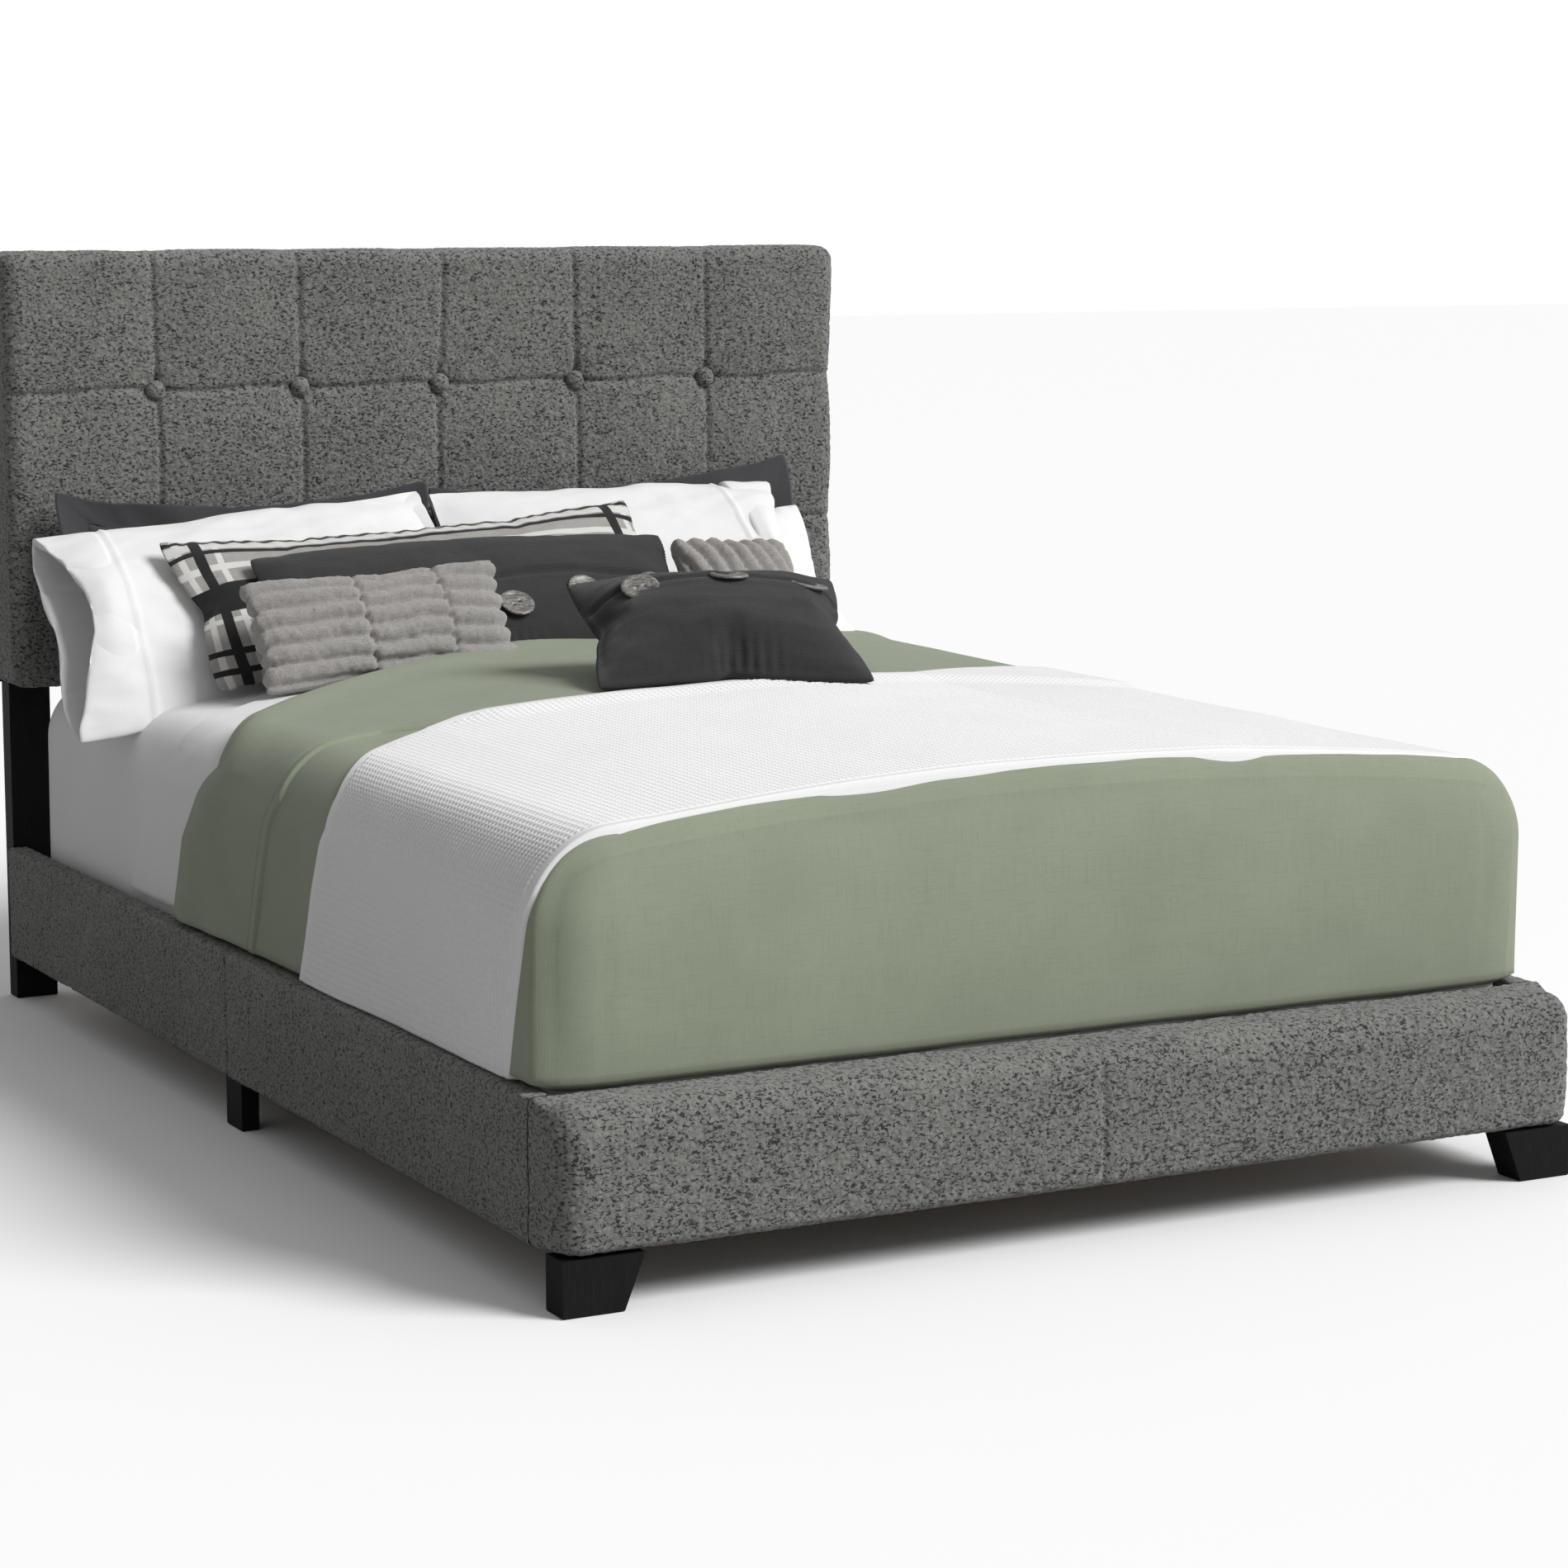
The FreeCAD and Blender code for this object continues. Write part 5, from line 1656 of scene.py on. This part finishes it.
@dataclass
class Pile:
    """Every cushion on the bed, filled in one simulation.

    Args:
        dresser: who finishes them.
        frames: the simulation's length.
        plans: the cushions.
    """

    dresser: Dresser
    frames: int = 22
    plans: tuple = (
        CushionPlan("sham_left", Form.FLANGED, (0.628, 0.310), (-0.358, 0.076, 0.157), 0.055,
                    lean=75, sag=0.016),
        CushionPlan("sham_right", Form.FLANGED, (0.668, 0.325), (0.294, 0.077, 0.154), 0.055,
                    lean=75, roll=3.0, sag=0.012),
        CushionPlan("pillow_low_right", Form.PLAIN, (0.600, 0.360), (0.308, 0.224, 0.125), 0.080,
                    lean=42),
        CushionPlan("pillow_left", Form.CUFFED, (0.645, 0.382), (-0.397, 0.270, 0.134), 0.092,
                    roll=5.5),
        CushionPlan("pillow_right", Form.CUFFED, (0.610, 0.370), (0.231, 0.250, 0.154), 0.095,
                    roll=0.5),
        CushionPlan("plaid_cushion", Form.PLAIN, (0.805, 0.300), (-0.168, 0.341, 0.153), 0.075,
                    roll=3.5, sag=-0.004),
        CushionPlan("button_cushion_back", Form.BUTTONED, (0.700, 0.245), (-0.114, 0.419, 0.135), 0.070,
                    roll=1.0, sag=-0.034),
        CushionPlan("fur_cushion_left", Form.FURRY, (0.415, 0.180), (-0.317, 0.505, 0.124), 0.060,
                    lean=60, roll=3.0),
        CushionPlan("fur_cushion_right", Form.FURRY, (0.200, 0.200), (0.326, 0.434, 0.140), 0.060,
                    roll=-4.0),
        CushionPlan("button_cushion_front", Form.BUTTONED, (0.400, 0.295), (0.003, 0.983, 0.143), 0.145,
                    lean=24, turn=-15, sag=-0.014),
    )

    def build(self) -> dict:
        """Cut, fill, shape and place all of them, and return them by node."""
        pillows = [Pillow(plan, self.dresser) for plan in self.plans]
        for pillow in pillows:
            pillow.cut()
        scene = bpy.context.scene
        scene.frame_start, scene.frame_end = 1, self.frames
        for number in range(1, self.frames + 1):
            scene.frame_set(number)
        for pillow in pillows:
            if pillow.plan.form is not Form.CUFFED:
                bake_modifiers(pillow.piece)
            pillow.shape()
            pillow.settle()
        scene.frame_set(1)
        return {pillow.plan.node: pillow for pillow in pillows}


@dataclass
class Toggles:
    """The big two-hole coconut buttons on a dark cushion.

    Args:
        dresser: who finishes them.
        radius: of one button.
        depth: of one button.
        hole: radius of its thread holes.
        apart: each hole's distance from the button's middle.
        outline: the turned outline, as shares of the radius and half the depth.
        rings: steps along the outline.
        turns: steps round a button.
    """

    dresser: Dresser
    radius: float = 28 * MM
    depth: float = 5.5 * MM
    hole: float = 3 * MM
    apart: float = 6.5 * MM
    outline: tuple = ((0.0, -1.0), (0.55, -1.0), (0.93, -0.85), (1.0, -0.1), (0.98, 0.6),
                      (0.92, 0.95), (0.84, 1.0), (0.76, 0.82), (0.66, 0.42), (0.4, 0.22),
                      (0.0, 0.2))
    rings: int = 44
    turns: int = 64

    def disc(self, name: str) -> bpy.types.Object:
        """One button: a dished face with a rolled rim and two holes."""
        outline = np.array(self.outline)
        share = np.linspace(0, 1, len(outline))
        fine = np.linspace(0, 1, self.rings)
        radius = np.interp(fine, share, outline[:, 0]) * self.radius
        level = np.interp(fine, share, outline[:, 1]) * self.depth / 2
        turn = np.linspace(0, 2 * math.pi, self.turns, endpoint=False)
        x, y = radius[:, None] * np.cos(turn), radius[:, None] * np.sin(turn)
        z = np.repeat(level[:, None], self.turns, axis=1)
        near = np.min([np.hypot(x - side * self.apart, y) for side in (-1, 1)], axis=0)
        z = z - np.where(z > 0, bell(near, self.hole * 0.75) * self.depth * 0.8, 0)
        points = np.stack([x, y, z], axis=2).reshape(-1, 3)
        return piece_from(name, points, ring_faces(self.turns, self.rings))

    def row(self, name: str, pillow: Pillow, places: Sequence[tuple], body: str) -> None:
        """A row of buttons, each lying on the cushion's face.

        Args:
            name: the frame's node.
            pillow: the cushion.
            places: each button's place along and up the cushion's face.
            body: the body that they ride on.
        """
        tree = surface_of(pillow.piece)
        facing = pillow.placed(np.array(((0.0, 0.0, 1.0), (0.0, 0.0, 0.0))))
        outward = Vector(facing[0] - facing[1]).normalized()
        discs = []
        for number, (along, up) in enumerate(places):
            start = Vector(pillow.placed(np.array(((along, up, 0.25),)))[0])
            spot, normal, _, _ = tree.ray_cast(start, -outward)
            if spot is None:
                raise ValueError(f"{name}: button {number} is off its cushion")
            normal = (normal + outward).normalized()
            disc = self.disc(f"{name}_{number}")
            turn = normal.to_track_quat("Z", "Y").to_matrix().to_4x4()
            spin = Matrix.Rotation(0.5 + number * 0.9, 4, "Z")
            disc.data.transform(Matrix.Translation(spot + normal * self.depth * 0.35) @ turn @ spin)
            discs.append(disc)
        self.dresser.dress(joined(name + "_coconut", discs), "coconut", body, (name,))


def surface_of(piece: bpy.types.Object) -> BVHTree:
    """A piece's surface, for finding where a ray meets it."""
    mesh = bmesh.new()
    mesh.from_mesh(piece.data)
    tree = BVHTree.FromBMesh(mesh)
    mesh.free()
    return tree


# ---------------------------------------------------------------------- studio
@dataclass
class Studio:
    """A pale floor, a pale surround, soft lights and the camera.

    Args:
        lens: the camera's focal length in millimetres.
        eye: the camera's place.
        aim: its rotation in degrees.
        floor: size of the floor.
        ambient: how strongly the surround lights the bed, from the left and from the right.
        key: strength of the key light.
        key_from: the direction that the key light comes from.
        key_angle: how wide the key light looks, in degrees.
        floor_tones: the floor as it lights the bed, and as it is seen.
    """

    lens: float = 91.78
    eye: tuple = (-2.569, -5.059, 1.276)
    aim: tuple = (81.5, 0.0, -28.0)
    floor: float = 60.0
    ambient: tuple = (0.22, 0.62)
    key: float = 3.0
    key_from: tuple = (0.52, -0.56, 0.64)
    key_angle: float = 28.0
    floor_tones: tuple = (0.42, 0.95)

    def surface(self) -> None:
        """The floor, almost white."""
        half = self.floor / 2
        points = np.array(((-half, -half, 0), (half, -half, 0), (half, half, 0), (-half, half, 0)))
        floor = piece_from("studio_floor", points, np.array(((0, 1, 2, 3),)))
        graph = Graph("studio floor")
        seen = graph.node("ShaderNodeLightPath", out="Is Camera Ray")
        colour = graph.mix(seen, *(grey(tone) for tone in self.floor_tones))
        floor.data.materials.append(graph.finish(colour, 0.95))

    def build(self) -> None:
        """Make the floor, the surround, the lights and the camera."""
        self.surface()
        world = bpy.data.worlds.new("surround")
        bpy.context.scene.world = world
        world.use_nodes = True
        tree = world.node_tree
        way = tree.nodes.new("ShaderNodeSeparateXYZ")
        tree.links.new(tree.nodes.new("ShaderNodeTexCoord").outputs["Generated"], way.inputs[0])
        across, level = (tree.nodes.new("ShaderNodeMapRange") for _ in range(2))
        across.inputs["From Min"].default_value = -1.0
        across.inputs["To Min"].default_value, across.inputs["To Max"].default_value = self.ambient
        tree.links.new(way.outputs["X"], across.inputs["Value"])
        tree.links.new(across.outputs[0], level.inputs["To Min"])
        seen = tree.nodes.new("ShaderNodeLightPath")
        tree.links.new(seen.outputs["Is Camera Ray"], level.inputs["Value"])
        background = tree.nodes["Background"]
        tree.links.new(level.outputs[0], background.inputs["Strength"])
        background.inputs["Color"].default_value = (1, 1, 1, 1)
        sun = bpy.data.lights.new("key", "SUN")
        sun.energy, sun.angle = self.key, math.radians(self.key_angle)
        lamp = bpy.data.objects.new("key", sun)
        lamp.rotation_euler = Vector(self.key_from).to_track_quat("Z", "Y").to_euler()
        bpy.context.collection.objects.link(lamp)
        lens = bpy.data.cameras.new("camera")
        lens.lens, lens.sensor_width = self.lens, 36.0
        camera = bpy.data.objects.new("camera", lens)
        camera.location = self.eye
        camera.rotation_euler = [math.radians(angle) for angle in self.aim]
        bpy.context.collection.objects.link(camera)
        scene = bpy.context.scene
        scene.camera = camera
        scene.view_settings.view_transform = "Standard"


SLOTS = {part["node"]: part["material_slot"] for part in frame["record"]["subparts"]}
HEAD_FACE = corner_low("headboard_cover").y
BED_TOP = corner_high("mattress").z - MATTRESS_CROWN


def main() -> None:
    """Build the bed, from its frame to its cushions, and then the studio."""
    logging.basicConfig(level=logging.INFO, format="%(name)s: %(message)s")
    finishes = Finishes()
    dresser = Dresser(finishes)
    Woodwork(dresser).build()
    Upholstery(dresser).build()
    form = BedForm(corner_low("mattress"), corner_high("mattress"))
    Bedding(dresser, form).build()
    pillows = Pile(dresser).build()
    toggles = Toggles(dresser)
    toggles.row("toggle_buttons_back", pillows["button_cushion_back"],
                ((0.040, -0.022), (0.162, -0.004), (0.285, 0.0)), BED_BODY)
    toggles.row("toggle_buttons_front", pillows["button_cushion_front"],
                ((-0.110, 0.040), (0.020, 0.052), (0.140, 0.056)), FRONT_BODY)
    Studio().build()
    LOG.info("%d pieces", dresser.count)


if __name__ == "__main__":
    main()
